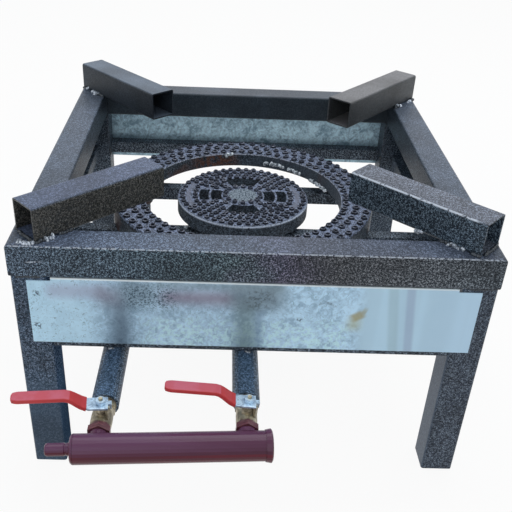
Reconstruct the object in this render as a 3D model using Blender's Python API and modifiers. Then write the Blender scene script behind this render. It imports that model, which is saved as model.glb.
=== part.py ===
"""Heavy-duty propane burner stand: box-tube frame, folded wind sheets, twin cast burners, lever-valve manifold.

Metres, +Z up. Sizes below are from the frame's centre on the floor, with the gas manifold in front, at -Y. The
whole stand is then carried back, so that the origin lies under the middle of its overall box.
"""
import math

import bmesh
import bpy
from mathutils import Matrix, Vector

GAP = 0.0003                  # clearance between pieces that touch

# --- frame -------------------------------------------------------------------------------------------------
FRAME_W = 0.550               # square top frame, outside to outside
TOP_Z = 0.324                 # upper face of the top frame above the floor
TUBE = 0.040                  # square tube of the top frame, the legs and the pot arms
TUBE_WALL = 0.002
TUBE_CORNER = 0.003
LEG_INSET = 0.0015            # the legs stand this far inside the top frame's outline
ARM_SEATS = {                 # outer end's centre in from the frame's two sides, swing off the diagonal, length
    "front_left": (0.0186, 0.0216, -2.2, 0.179),
    "front_right": (0.0189, 0.0161, 1.0, 0.181),
    "back_right": (0.0151, 0.0135, 4.0, 0.194),
    "back_left": (0.0135, 0.0163, -2.8, 0.187),
}

# --- lower frame -------------------------------------------------------------------------------------------
RAIL = 0.020                  # square tube of the lower rails and burner bars
RAIL_WALL = 0.0015
RAIL_CORNER = 0.0018
RAIL_TOP_Z = 0.228
FRONT_RAIL_H = 0.040          # the front lower rail is a deeper section on edge
BAR_FRONT_Y = -0.050
BAR_REAR_Y = 0.086

# --- wind sheets -------------------------------------------------------------------------------------------
SHEET_T = 0.001
SHEET_HALF = FRAME_W / 2 - 0.019
SHEET_LOW_Z = RAIL_TOP_Z - 0.033
SHEET_DROP = 0.004            # the panel's shoulders stop this far below the top frame
TONGUE_HALF = FRAME_W / 2 - LEG_INSET - TUBE - 0.0045     # the folded tongue passes between the legs
TONGUE_FOLD = 0.011
TONGUE_BEND_R = 0.0014

# --- burners -----------------------------------------------------------------------------------------------
BURNER_X = -0.010
CAST_WALL = 0.005
RING_OUT_R = 0.184
RING_IN_R = 0.141
RING_TOP_Z = RAIL_TOP_Z + 0.034
RING_BODY_H = 0.021
HEAD_R = 0.0935
HEAD_TOP_Z = RAIL_TOP_Z + 0.029
HEAD_BODY_H = 0.018
HEAD_SKIRT_Z = RAIL_TOP_Z + 0.008
HEAD_FOOT = 0.012             # square lugs under the inner burner, where it is tacked to the burner bars
GALLERY_MARGIN = 0.0062       # metal between the gas gallery and the sides of the casting
HUB_R = 0.0285
WINDOWS = ((90, ((0.032, 27.0), (0.058, 27.0))), (270, ((0.032, 27.0), (0.058, 27.0))),
           (0, ((0.031, 25.0), (0.0465, 21.0))), (180, ((0.031, 25.0), (0.0465, 21.0))),
           (0, ((0.0495, 19.0), (0.063, 15.5))), (180, ((0.0495, 19.0), (0.063, 15.5))))
RIM_GALLERY_R = 0.069
CHANNEL_W = 0.010
BOSS_WALL = 0.0035            # metal round a pipe's seat
BOSS_DROP = 0.006             # the inlet bosses reach this far below the top of the burner bars
BOSS_SEAT = 0.013             # depth of the pipe's seat in a boss

# --- mixing pipes ------------------------------------------------------------------------------------------
PIPE_R = 0.0155
PIPE_WALL = 0.0025
PIPE_BEND_R = 0.032
PIPE_SIDES = 20
MOUTH_OFFSET = 0.0245         # the pipe's mouth stands this far behind the valve's stem
AIR_HOLE_R = 0.0075
AIR_HOLE_OFFSET = 0.050
RING_FEED_X = -0.163
RING_FEED_Y = 0.045
FEED_SHIFT = 0.0025            # the inner burner's pipe lies this far right of the burner's centre

# --- gas manifold ------------------------------------------------------------------------------------------
MANIFOLD_OFFSET = 0.0415       # from a valve's stem forward to the manifold's axis
MANIFOLD_R = 0.016
MANIFOLD_WALL = 0.0025
MANIFOLD_LEFT = 0.0225         # the manifold runs on past the left and right sockets by these lengths
MANIFOLD_RIGHT = 0.0235
SOCKET_R = 0.0106
NIPPLE_R = 0.0068
NIPPLE_LEN = 0.025
NIPPLE_BORE = 0.0040

# --- valves (own frame: Y along the pipe, Z along the stem, centre of the ball at the origin) ---------------
# the left-hand pipe is the longer, so the manifold lies askew
VALVE_Y = {"left": -FRAME_W / 2 - 0.1055, "right": -FRAME_W / 2 - 0.0965}
VALVE_ROLL_DEG = {"left": 1.0, "right": 4.0}
STOP_DEG = 33.0                # the stop lugs stand this far beyond the tail's closed and open positions
LEVER_AJAR_DEG = {"left": 7.0, "right": 0.0}
HEX_AF = 0.0235
BALL_R = 0.0085
VALVE_BODY_R = BALL_R + 0.0033
PORT_R = 0.0055
CHAMBER_R = BALL_R + 0.0013
CHAMBER_END = BALL_R + 0.0005  # the chamber's floor and the tail's face, from the ball's centre
SEAT_LIP_DEG = 30.0            # where a seat's lip meets the ball, off the ball's middle
SEAT_GAP = 0.0004
THREAD_R = 0.0088
BODY_FRONT = -0.0225
FRONT_HEX = 0.008
BODY_REAR = 0.016
TAIL_END = 0.023
BONNET_R = 0.0068
BONNET_Z = VALVE_BODY_R + 0.0032
STEM_R = 0.003
LEVER_Z = BONNET_Z + 0.0077
LEVER_T = 0.0025
LEVER_LEN = 0.088
LEVER_RISE = 0.0130
LEVER_BENDS = (0.0165, 0.0205, 0.0245, 0.0285, 0.0325, 0.0370, 0.0415)  # where the crank is bent, out from the stem
SLEEVE_START = 0.0152
SLEEVE_WALL = 0.001

ROUND = 24

PAINT = ("hammertone_paint", (0.055, 0.065, 0.085), 0.42, 0.35)
SHEET = ("galvanised_sheet", (0.60, 0.68, 0.74), 0.38, 0.85)
IRON = ("cast_iron", (0.10, 0.105, 0.13), 0.62, 0.5)
MAROON = ("maroon_gloss", (0.16, 0.015, 0.035), 0.22, 0.1)
BRASS = ("valve_brass", (0.55, 0.42, 0.20), 0.32, 1.0)
ZINC = ("zinc_plate", (0.72, 0.76, 0.80), 0.25, 1.0)
VINYL = ("red_vinyl", (0.62, 0.04, 0.06), 0.40, 0.0)
PTFE = ("seat_ptfe", (0.85, 0.85, 0.83), 0.45, 0.0)
CHROME = ("ball_chrome", (0.80, 0.81, 0.83), 0.12, 1.0)


def clear_scene():
    for obj in list(bpy.data.objects):
        bpy.data.objects.remove(obj, do_unlink=True)


def make_collection(name):
    coll = bpy.data.collections.new(name)
    bpy.context.scene.collection.children.link(coll)
    return coll


def paint(mesh, spec):
    """Give the mesh its Principled material, made once for each finish."""
    name, rgb, rough, metal = spec
    mat = bpy.data.materials.get(name)
    if mat is None:
        mat = bpy.data.materials.new(name)
        mat.use_nodes = True
        shader = mat.node_tree.nodes["Principled BSDF"]
        shader.inputs["Base Color"].default_value = (*rgb, 1.0)
        shader.inputs["Roughness"].default_value = rough
        shader.inputs["Metallic"].default_value = metal
        mat.diffuse_color = (*rgb, 1.0)
    mesh.materials.clear()
    mesh.materials.append(mat)


def to_mesh(bm, name):
    mesh = bpy.data.meshes.new(name)
    bm.to_mesh(mesh)
    bm.free()
    return mesh


def weld(mesh, distance=1e-6):
    bm = bmesh.new()
    bm.from_mesh(mesh)
    bmesh.ops.remove_doubles(bm, verts=bm.verts, dist=distance)
    bm.to_mesh(mesh)
    bm.free()
    return mesh


def baked(obj):
    """Replace a helper object by the mesh that its modifiers or curve settings make."""
    bpy.context.view_layer.update()
    graph = bpy.context.evaluated_depsgraph_get()
    mesh = bpy.data.meshes.new_from_object(obj.evaluated_get(graph))
    mesh.transform(obj.matrix_world)
    bpy.data.objects.remove(obj, do_unlink=True)
    return mesh


def helper(mesh):
    obj = bpy.data.objects.new("helper", mesh)
    bpy.context.scene.collection.objects.link(obj)
    return obj


def block(size, centre=(0.0, 0.0, 0.0), turn=0.0):
    """A box; turn is its rotation about Z through its own centre, in degrees."""
    bm = bmesh.new()
    bmesh.ops.create_cube(bm, size=1.0)
    bmesh.ops.scale(bm, vec=Vector(size), verts=bm.verts)
    bmesh.ops.rotate(bm, cent=(0, 0, 0), matrix=Matrix.Rotation(math.radians(turn), 3, "Z"), verts=bm.verts)
    bmesh.ops.translate(bm, vec=Vector(centre), verts=bm.verts)
    return to_mesh(bm, "block")


def rod(radius, start, end, axis="Z", sides=ROUND, phase=0.0):
    """A cylinder or hexagon from start to end along an axis through the origin."""
    bm = bmesh.new()
    bmesh.ops.create_cone(bm, cap_ends=True, segments=sides, radius1=radius, radius2=radius, depth=end - start)
    bmesh.ops.rotate(bm, cent=(0, 0, 0), matrix=Matrix.Rotation(math.radians(phase), 3, "Z"), verts=bm.verts)
    bmesh.ops.translate(bm, vec=(0, 0, (start + end) / 2), verts=bm.verts)
    mesh = to_mesh(bm, "rod")
    return lay(mesh, axis)


def hexagon(across_flats, start, end, axis="Z", phase=0.0):
    return rod(across_flats / math.sqrt(3), start, end, axis, sides=6, phase=phase)


def lay(mesh, axis):
    """Turn a shape made about Z so that its +Z points along the axis."""
    if axis == "Y":
        mesh.transform(Matrix.Rotation(math.radians(-90), 4, "X"))
    elif axis == "X":
        mesh.transform(Matrix.Rotation(math.radians(90), 4, "Y"))
    return mesh


def turned(profile, steps=ROUND, axis="Z"):
    """Revolve (radius, height) points; the outer side runs from top to bottom.

    A profile that starts and ends on the axis makes a solid; any other is a closed loop and makes a ring.
    """
    on_axis = profile[0][0] == 0.0 and profile[-1][0] == 0.0
    count = len(profile)
    edges = [(i, i + 1) for i in range(count - 1)]
    if not on_axis:
        edges.append((count - 1, 0))
    mesh = bpy.data.meshes.new("turned")
    mesh.from_pydata([(r, 0.0, z) for r, z in profile], edges, [])
    obj = helper(mesh)
    screw = obj.modifiers.new("turn", "SCREW")
    screw.axis = "Z"
    screw.steps = steps
    screw.render_steps = steps
    screw.use_merge_vertices = True
    screw.merge_threshold = 0.00001
    return lay(weld(baked(obj)), axis)


def plate(outlines, low, high):
    """A flat plate between two heights, from one outer outline and any holes."""
    curve = bpy.data.curves.new("plate", "CURVE")
    curve.dimensions = "2D"
    curve.fill_mode = "BOTH"
    curve.extrude = (high - low) / 2
    for outline in outlines:
        spline = curve.splines.new("POLY")
        spline.points.add(len(outline) - 1)
        for point, (x, y) in zip(spline.points, outline):
            point.co = (x, y, 0.0, 1.0)
        spline.use_cyclic_u = True
    obj = helper(curve)
    obj.location.z = (low + high) / 2
    return weld(baked(obj))


def joined(base, *steps):
    """Boolean a mesh with others in turn: steps are (operation, mesh)."""
    obj = helper(base)
    tools = []
    for operation, mesh in steps:
        tool = helper(mesh)
        tool.hide_render = True
        tool.display_type = "WIRE"
        tools.append(tool)
        modifier = obj.modifiers.new(operation.lower(), "BOOLEAN")
        modifier.operation = operation
        modifier.object = tool
        modifier.solver = "EXACT"
    mesh = weld(baked(obj))
    for tool in tools:
        bpy.data.objects.remove(tool, do_unlink=True)
    return mesh


def at(mesh, x=0.0, y=0.0, z=0.0):
    mesh.transform(Matrix.Translation((x, y, z)))
    return mesh


def place(name, mesh, spec, location=(0.0, 0.0, 0.0), turn=0.0, parent=None):
    """Make a named piece; turn is its rotation about Z in degrees."""
    mesh.name = name
    if not mesh.materials:
        paint(mesh, spec)
    mesh.shade_smooth()
    mesh.set_sharp_from_angle(angle=math.radians(35))
    obj = bpy.data.objects.new(name, mesh)
    PARTS.objects.link(obj)
    obj.location = location
    obj.rotation_euler.z = math.radians(turn)
    obj.parent = parent or ROOT
    return obj


def empty(name, location, roll=0.0, turn=0.0, parent=None):
    obj = bpy.data.objects.new(name, None)
    PARTS.objects.link(obj)
    obj.location = location
    obj.rotation_euler = (0.0, math.radians(roll), math.radians(turn))
    obj.parent = parent or ROOT
    return obj


def around(distance_x, distance_y, z, turn):
    """A point of the front-left quarter, carried round the frame's centre by turn degrees."""
    point = Matrix.Rotation(math.radians(turn), 3, "Z") @ Vector((distance_x, distance_y, 0.0))
    return (point.x, point.y, z)


# --- box tube ----------------------------------------------------------------------------------------------
def rounded_rectangle(width, height, corner, steps=3):
    points = []
    for quarter in range(4):
        sx, sy = ((1, 1), (-1, 1), (-1, -1), (1, -1))[quarter]
        for i in range(steps + 1 if corner > 0 else 1):
            angle = math.radians(90 * quarter + (90 * i / steps if corner > 0 else 0))
            points.append((sx * (width / 2 - corner) + corner * math.cos(angle),
                           sy * (height / 2 - corner) + corner * math.sin(angle)))
    return points


def box_tube(depth, height, length, wall, corner):
    """A hollow rectangular tube along X, with its section's depth in Y and height in Z."""
    outer = rounded_rectangle(depth, height, corner)
    inner = rounded_rectangle(depth - 2 * wall, height - 2 * wall, 0.0)
    mesh = plate([outer, inner], -length / 2, length / 2)
    # the section's x becomes Y, its y becomes Z and the extrusion becomes X
    mesh.transform(Matrix(((0, 0, 1, 0), (1, 0, 0, 0), (0, 1, 0, 0), (0, 0, 0, 1))))
    return mesh


def mitred(mesh, length, depth):
    """Slope both ends at 45 degrees, longest at the outer face (-Y), with a hair's gap at the mitre."""
    for vertex in mesh.vertices:
        inward = vertex.co.y + depth / 2
        reach = length / 2 - inward - GAP / math.sqrt(2)
        vertex.co.x = math.copysign(reach, vertex.co.x)
    return mesh


SIDES = (("front", 0), ("right", 90), ("back", 180), ("left", 270))
CORNERS = (("front_left", 0), ("front_right", 90), ("back_right", 180), ("back_left", 270))


def build_frame():
    top = mitred(box_tube(TUBE, TUBE, FRAME_W, TUBE_WALL, TUBE_CORNER), FRAME_W, TUBE)
    for side, turn in SIDES:
        spot = around(0.0, -(FRAME_W - TUBE) / 2, TOP_Z - TUBE / 2, turn)
        place("top_rail_" + side, top, PAINT, spot, turn)

    leg_len = TOP_Z - TUBE - GAP
    leg_centre = FRAME_W / 2 - LEG_INSET - TUBE / 2
    leg = box_tube(TUBE, TUBE, leg_len, TUBE_WALL, TUBE_CORNER)
    leg.transform(Matrix.Rotation(math.radians(-90), 4, "Y"))
    for corner, turn in CORNERS:
        place("leg_" + corner, leg, PAINT, around(-leg_centre, -leg_centre, leg_len / 2, turn), turn)

    for corner, turn in CORNERS:
        in_x, in_y, swing, length = ARM_SEATS[corner]
        angle = math.radians(45 + swing)
        x = in_x - FRAME_W / 2 + length / 2 * math.cos(angle)
        y = in_y - FRAME_W / 2 + length / 2 * math.sin(angle)
        arm = box_tube(TUBE, TUBE, length, TUBE_WALL, TUBE_CORNER)
        place("pot_arm_" + corner, arm, PAINT, around(x, y, TOP_Z + GAP + TUBE / 2, turn), 45 + swing + turn)

    leg_face = leg_centre + TUBE / 2
    rail_len = 2 * (leg_centre - TUBE / 2 - GAP)
    rail = box_tube(RAIL, RAIL, rail_len, RAIL_WALL, RAIL_CORNER)
    deep = box_tube(RAIL, FRONT_RAIL_H, rail_len, RAIL_WALL, RAIL_CORNER)
    for side, turn in SIDES:
        mesh, height = (deep, FRONT_RAIL_H) if side == "front" else (rail, RAIL)
        spot = around(0.0, -(leg_face - RAIL / 2), RAIL_TOP_Z - height / 2, turn)
        place("lower_rail_" + side, mesh, PAINT, spot, turn)

    bar = box_tube(RAIL, RAIL, 2 * (leg_face - RAIL - GAP), RAIL_WALL, RAIL_CORNER)
    for side, y in (("front", BAR_FRONT_Y), ("rear", BAR_REAR_Y)):
        place("burner_bar_" + side, bar, PAINT, (0.0, y, RAIL_TOP_Z - RAIL / 2))
    return leg_face


def build_sheets(leg_face):
    """One folded sheet a side: a flat panel outside the legs, and a narrower tongue turned in under the rail."""
    mid = leg_face + GAP + SHEET_T / 2
    shoulder = TOP_Z - TUBE - SHEET_DROP
    flange_z = TOP_Z - TUBE - GAP - SHEET_T / 2
    bm = bmesh.new()
    bmesh.ops.create_grid(bm, x_segments=3, y_segments=1, size=1.0)
    columns = (-SHEET_HALF, -TONGUE_HALF, TONGUE_HALF, SHEET_HALF)
    for vertex in bm.verts:
        column = round((vertex.co.x + 1.0) * 1.5)
        height = SHEET_LOW_Z if vertex.co.y < 0 else shoulder
        vertex.co = (columns[column], -mid, height)
    bm.edges.ensure_lookup_table()
    edge = next(e for e in bm.edges
                if all(abs(v.co.z - shoulder) < 1e-6 and abs(abs(v.co.x) - TONGUE_HALF) < 1e-6 for v in e.verts))
    moves = [(0.0, 0.0, flange_z - shoulder - TONGUE_BEND_R)]
    for step in range(3):
        a, b = (math.radians(30 * (step + k)) for k in (0, 1))
        moves.append((0.0, TONGUE_BEND_R * (math.cos(a) - math.cos(b)), TONGUE_BEND_R * (math.sin(b) - math.sin(a))))
    moves.append((0.0, TONGUE_FOLD, 0.0))
    for move in moves:
        grown = bmesh.ops.extrude_edge_only(bm, edges=[edge])["geom"]
        bmesh.ops.translate(bm, vec=Vector(move), verts=[g for g in grown if isinstance(g, bmesh.types.BMVert)])
        edge = next(g for g in grown if isinstance(g, bmesh.types.BMEdge))
    bmesh.ops.recalc_face_normals(bm, faces=bm.faces)
    obj = helper(to_mesh(bm, "sheet"))
    thick = obj.modifiers.new("thickness", "SOLIDIFY")
    thick.thickness = SHEET_T
    thick.offset = 0.0
    thick.use_even_offset = True
    sheet = baked(obj)
    for side, turn in SIDES:
        place("wind_sheet_" + side, sheet, SHEET, (0.0, 0.0, 0.0), turn)


# --- burners -----------------------------------------------------------------------------------------------
def inlet_boss(top_of_bore, plate_low):
    """The boss that an elbow pipe seats in, and the two bores that open it into the gallery."""
    foot = RAIL_TOP_Z - BOSS_DROP
    boss = rod(PIPE_R + BOSS_WALL, foot, plate_low + 0.002)
    seat = rod(PIPE_R + GAP, foot - 0.002, foot + BOSS_SEAT)
    throat = rod(PIPE_R - PIPE_WALL, foot, top_of_bore)
    return boss, seat, throat


def build_ring_burner():
    """Outer burner: a cast ring with a gas gallery, standing on its deep outer skirt."""
    foot = RAIL_TOP_Z + GAP
    low = RING_TOP_Z - RING_BODY_H
    edge = 0.002
    body = turned([(RING_OUT_R - edge, RING_TOP_Z), (RING_OUT_R, RING_TOP_Z - edge), (RING_OUT_R, foot),
                   (RING_OUT_R - CAST_WALL, foot), (RING_OUT_R - CAST_WALL, low), (RING_IN_R, low),
                   (RING_IN_R, RING_TOP_Z - edge), (RING_IN_R + edge, RING_TOP_Z)], 72)
    out_r, in_r = RING_OUT_R - GALLERY_MARGIN, RING_IN_R + GALLERY_MARGIN
    high_g, low_g = RING_TOP_Z - CAST_WALL, low + CAST_WALL
    gallery = turned([(out_r, high_g), (out_r, low_g), (in_r, low_g), (in_r, high_g)], 72)
    boss, seat, throat = (at(m, RING_FEED_X - BURNER_X, RING_FEED_Y) for m in inlet_boss((low_g + high_g) / 2, low))
    mesh = joined(body, ("UNION", boss), ("DIFFERENCE", gallery), ("DIFFERENCE", seat), ("DIFFERENCE", throat))
    place("ring_burner", mesh, IRON, (BURNER_X, 0.0, 0.0))


def window_outline(sides, angle, steps=6):
    """A window between two arcs, each given by its radius and its half angle, centred on the angle (degrees)."""
    points = []
    for (radius, half), order in zip(sides, (-1, 1)):
        for i in range(steps + 1):
            theta = math.radians(angle + order * half * (2 * i / steps - 1))
            points.append((radius * math.cos(theta), radius * math.sin(theta)))
    return points


def build_head_burner():
    """Inner burner: a cast dish whose gallery runs out along four diagonal spokes to the rim."""
    low = HEAD_TOP_Z - HEAD_BODY_H
    edge = 0.002
    body = turned([(0.0, HEAD_TOP_Z + 0.001), (HUB_R - 0.001, HEAD_TOP_Z + 0.001), (HUB_R, HEAD_TOP_Z),
                   (HEAD_R - edge, HEAD_TOP_Z), (HEAD_R, HEAD_TOP_Z - edge), (HEAD_R, HEAD_SKIRT_Z),
                   (HEAD_R - CAST_WALL, HEAD_SKIRT_Z), (HEAD_R - CAST_WALL, low), (0.0, low)], 60)
    boss, seat, throat = (at(m, FEED_SHIFT) for m in inlet_boss(low + HEAD_BODY_H / 2, low))
    steps = [("UNION", boss)]
    foot_low, foot_high = RAIL_TOP_Z + GAP, low + 0.002
    for bar_y in (BAR_FRONT_Y, BAR_REAR_Y - RAIL / 2):
        y = math.copysign(min(abs(bar_y), HEAD_R - CAST_WALL - HEAD_FOOT / 2), bar_y)
        reach = math.sqrt((HEAD_R - CAST_WALL / 2) ** 2 - (abs(y) + HEAD_FOOT / 2) ** 2)
        for x in (reach - HEAD_FOOT / 2, HEAD_FOOT / 2 - reach):
            steps.append(("UNION", block((HEAD_FOOT, HEAD_FOOT, foot_high - foot_low),
                                         (x, y, (foot_low + foot_high) / 2))))
    for angle, sides in WINDOWS:
        steps.append(("DIFFERENCE", plate([window_outline(sides, angle)], low - 0.01, HEAD_TOP_Z + 0.01)))
    low_g, high_g = low + CAST_WALL, HEAD_TOP_Z - CAST_WALL
    out_r = HEAD_R - GALLERY_MARGIN
    rim = turned([(out_r, high_g), (out_r, low_g), (RIM_GALLERY_R, low_g), (RIM_GALLERY_R, high_g)], 60)
    channel = (RIM_GALLERY_R + out_r, CHANNEL_W, high_g - low_g - 0.0004)
    mid = (low_g + high_g) / 2
    gallery = joined(rim, ("UNION", block(channel, (0, 0, mid), 45)), ("UNION", block(channel, (0, 0, mid), -45)))
    steps += [("DIFFERENCE", gallery), ("DIFFERENCE", seat), ("DIFFERENCE", throat)]
    place("head_burner", joined(body, *steps), IRON, (BURNER_X, 0.0, 0.0))


def pipe_axis_z():
    """The mixing pipes run just under the front lower rail."""
    return RAIL_TOP_Z - FRONT_RAIL_H - GAP - PIPE_R


def build_mixing_pipe(side, x, riser_y):
    """A steel pipe from its mouth at the valve, back under the burner and up through an elbow to its boss."""
    z = pipe_axis_z()
    top = RAIL_TOP_Z - BOSS_DROP + BOSS_SEAT - GAP
    mouth = VALVE_Y[side] + MOUTH_OFFSET
    path = [(mouth, z)]
    for i in range(7):
        angle = math.radians(15 * i)
        path.append((riser_y - PIPE_BEND_R + PIPE_BEND_R * math.sin(angle), z + PIPE_BEND_R * (1 - math.cos(angle))))
    path.append((riser_y, top))
    curve = bpy.data.curves.new("pipe", "CURVE")
    curve.dimensions = "3D"
    curve.bevel_depth = PIPE_R
    curve.bevel_resolution = (PIPE_SIDES - 4) // 2
    curve.use_fill_caps = False
    spline = curve.splines.new("POLY")
    spline.points.add(len(path) - 1)
    for point, (y, height) in zip(spline.points, path):
        point.co = (0.0, y, height, 1.0)
    obj = helper(curve)
    wall = obj.modifiers.new("wall", "SOLIDIFY")
    wall.thickness = PIPE_WALL
    wall.offset = -1.0
    air = at(rod(AIR_HOLE_R, z - 2 * PIPE_R, z, sides=16), 0.0, mouth + AIR_HOLE_OFFSET)
    place("mixing_pipe_" + side, joined(weld(baked(obj)), ("DIFFERENCE", air)), PAINT, (x, 0.0, 0.0))


# --- manifold ----------------------------------------------------------------------------------------------
def manifold_line():
    """The manifold's axis where it passes the left and right sockets, and its skew in degrees."""
    z = pipe_axis_z()
    left = Vector((RING_FEED_X, VALVE_Y["left"] - MANIFOLD_OFFSET, z))
    right = Vector((BURNER_X + FEED_SHIFT, VALVE_Y["right"] - MANIFOLD_OFFSET, z))
    return left, right, math.degrees(math.atan2(right.y - left.y, right.x - left.x))


def stand_centre():
    """How far the frame's centre lies behind the middle of the overall box."""
    left, _, skew = manifold_line()
    angle = math.radians(skew)
    front = left.y - (MANIFOLD_LEFT + GAP) * math.sin(angle) - MANIFOLD_R * math.cos(angle)
    return -(front + FRAME_W / 2) / 2


def build_manifold():
    """The manifold joins the two valves' sockets, so its direction follows from where the valves stand."""
    left, right, skew = manifold_line()
    span = (right - left).length
    x0, x1 = -MANIFOLD_LEFT, span + MANIFOLD_RIGHT
    bore = MANIFOLD_R - MANIFOLD_WALL
    tube = turned([(MANIFOLD_R, x1), (MANIFOLD_R, x0), (bore, x0), (bore, x1)], 28, "X")
    feed = rod(THREAD_R + GAP, 0.0, MANIFOLD_R + 0.01, "Y")
    feed.transform(Matrix.Rotation(math.radians(-skew), 4, "Z"))
    holes = [("DIFFERENCE", at(feed.copy(), x)) for x in (0.0, span)]
    place("manifold_pipe", joined(tube, *holes), MAROON, left, skew)

    inner = THREAD_R + GAP
    mouth = MANIFOLD_OFFSET + BODY_FRONT - GAP
    socket = turned([(SOCKET_R, mouth), (SOCKET_R, 0.004), (inner, 0.004), (inner, mouth)], ROUND, "Y")
    saddle = rod(MANIFOLD_R + GAP, -0.03, 0.03, "X", sides=28)
    saddle.transform(Matrix.Rotation(math.radians(skew), 4, "Z"))
    socket = joined(socket, ("DIFFERENCE", saddle))
    for side, spot in (("left", left), ("right", right)):
        place("manifold_socket_" + side, socket, MAROON, spot)

    face = x0 - GAP
    shank = NIPPLE_R - 0.0022
    cap = turned([(bore - GAP, x0 + 0.003), (bore - GAP, face), (MANIFOLD_R, face), (MANIFOLD_R - 0.0004, face - 0.0014),
                  (MANIFOLD_R - 0.0016, face - 0.0027), (MANIFOLD_R - 0.0034, face - 0.0034),
                  (shank + GAP, face - 0.0036), (shank + GAP, x0 + 0.003)], ROUND, "X")
    place("manifold_cap_left", cap, MAROON, left, skew)

    base = face - 0.0036 - GAP
    tip = base - NIPPLE_LEN
    nipple = turned([(shank, x0 + 0.002), (shank, base), (NIPPLE_R, base), (NIPPLE_R, base - 0.0025),
                     (NIPPLE_R - 0.0007, base - 0.0034), (NIPPLE_R - 0.0007, base - 0.0044),
                     (NIPPLE_R, base - 0.0053), (NIPPLE_R, tip + 0.0024), (NIPPLE_R - 0.0007, tip + 0.0008),
                     (NIPPLE_R - 0.0020, tip), (NIPPLE_BORE, tip), (NIPPLE_BORE, x0 + 0.002)], 20, "X")
    place("hose_nipple", nipple, MAROON, left, skew)

    lip = x1 - 0.0045
    end = x1 + 0.0030
    cup = turned([(0.0, end + 0.0008), (MANIFOLD_R * 0.6, end + 0.0005), (MANIFOLD_R, end - 0.0003),
                  (MANIFOLD_R + 0.0018, end - 0.0016), (MANIFOLD_R + 0.0016, end - 0.0034),
                  (MANIFOLD_R + 0.0008, lip), (MANIFOLD_R + GAP, lip), (MANIFOLD_R + GAP, x1 + GAP),
                  (0.0, x1 + GAP)], 28, "X")
    place("manifold_cap_right", cup, MAROON, left, skew)


# --- valve -------------------------------------------------------------------------------------------------
def valve_body():
    """Male-threaded front, hexagon, ball chamber and bonnet with two stop lugs for the lever's tail."""
    neck = CHAMBER_R + 0.0015
    bulge = [(neck + (VALVE_BODY_R - neck) * math.cos(math.radians(a)), 0.011 * math.sin(math.radians(a)))
             for a in (90, 60, 30, 0, -30, -60)]
    shell = turned([(0.0, BODY_REAR), (neck, BODY_REAR), *bulge, (neck, -0.011),
                    (neck, BODY_FRONT), (THREAD_R, BODY_FRONT), (THREAD_R, BODY_FRONT - 0.008),
                    (THREAD_R - 0.001, BODY_FRONT - 0.009), (0.0, BODY_FRONT - 0.009)], ROUND, "Y")
    front_hex = hexagon(HEX_AF, BODY_FRONT + 0.0002, BODY_FRONT + FRONT_HEX, "Y")
    bonnet = rod(BONNET_R, 0.004, BONNET_Z, sides=20)
    steps = [("UNION", front_hex), ("UNION", bonnet)]
    for angle in (-STOP_DEG, 90 + STOP_DEG):
        direction = Matrix.Rotation(math.radians(angle), 3, "Z") @ Vector((0.0092, 0.0, BONNET_Z - 0.00025))
        steps.append(("UNION", block((0.0030, 0.0044, 0.0135), direction, angle)))
    steps += [
        ("DIFFERENCE", rod(PORT_R, -0.030, 0.0, "Y", sides=20)),
        ("DIFFERENCE", rod(CHAMBER_R, -CHAMBER_END, 0.030, "Y")),
        ("DIFFERENCE", rod(STEM_R + GAP, 0.0, BONNET_Z + 0.005, sides=16)),
        ("DIFFERENCE", rod(0.0050, BONNET_Z - 0.003, BONNET_Z + 0.005, sides=16)),
    ]
    return joined(shell, *steps)


def valve_tail():
    """Hexagon end piece that closes the chamber and takes the injector."""
    neck = rod(CHAMBER_R - GAP, CHAMBER_END, BODY_REAR + 0.002, "Y")
    return joined(neck, ("UNION", hexagon(HEX_AF, BODY_REAR + GAP, TAIL_END, "Y")),
                  ("DIFFERENCE", rod(PORT_R, 0.0, 0.030, "Y", sides=20)))


def valve_seat(sign):
    """A seat ring whose cone faces the ball."""
    reach = BALL_R + SEAT_GAP
    lip = Vector((reach * math.cos(math.radians(SEAT_LIP_DEG)), reach * math.sin(math.radians(SEAT_LIP_DEG))))
    outer, bore, back = CHAMBER_R - GAP, PORT_R + 0.0007, CHAMBER_END - GAP
    heel = math.sqrt((reach + 0.00045) ** 2 - bore ** 2)
    rows = [(outer, back), (outer, lip.y), (lip.x, lip.y), (bore, heel), (bore, back)]
    profile = rows if sign > 0 else [(r, -y) for r, y in reversed(rows)]
    return turned(profile, 20, "Y")


def valve_ball():
    """A bored ball, turned across the pipe at rest, with the slot that the stem's tang drives."""
    bm = bmesh.new()
    bmesh.ops.create_uvsphere(bm, u_segments=20, v_segments=12, radius=BALL_R)
    ball = to_mesh(bm, "ball")
    return joined(ball, ("DIFFERENCE", rod(PORT_R, -0.02, 0.02, "X", sides=20)),
                  ("DIFFERENCE", block((0.0116, 0.0036, 0.004), (0.0, 0.0, BALL_R))))


def valve_stem():
    low, high = BONNET_Z + 0.006, LEVER_Z + LEVER_T - GAP
    thread = rod(0.0022, high - 0.001, LEVER_Z + 0.0093, sides=16)
    square = block((0.0040, 0.0040, high - low), (0.0, 0.0, (low + high) / 2))
    tang = block((0.0054, 0.0030, 0.0026), (0.0, 0.0, BALL_R - 0.0004))
    post = rod(STEM_R, BALL_R + 0.0004, BONNET_Z + 0.0065, sides=16)
    return joined(post, ("UNION", tang), ("UNION", square), ("UNION", thread))


def gland_nut():
    skirt = rod(0.0047, BONNET_Z - 0.0025, BONNET_Z + 0.002, sides=16)
    return joined(skirt, ("UNION", hexagon(0.0125, BONNET_Z + GAP, BONNET_Z + 0.0055)),
                  ("DIFFERENCE", rod(STEM_R + GAP, 0.0, BONNET_Z + 0.015, sides=16)))


def smooth(x, start, end):
    t = min(max((x - start) / (end - start), 0.0), 1.0)
    return t * t * (3 - 2 * t)


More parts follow.
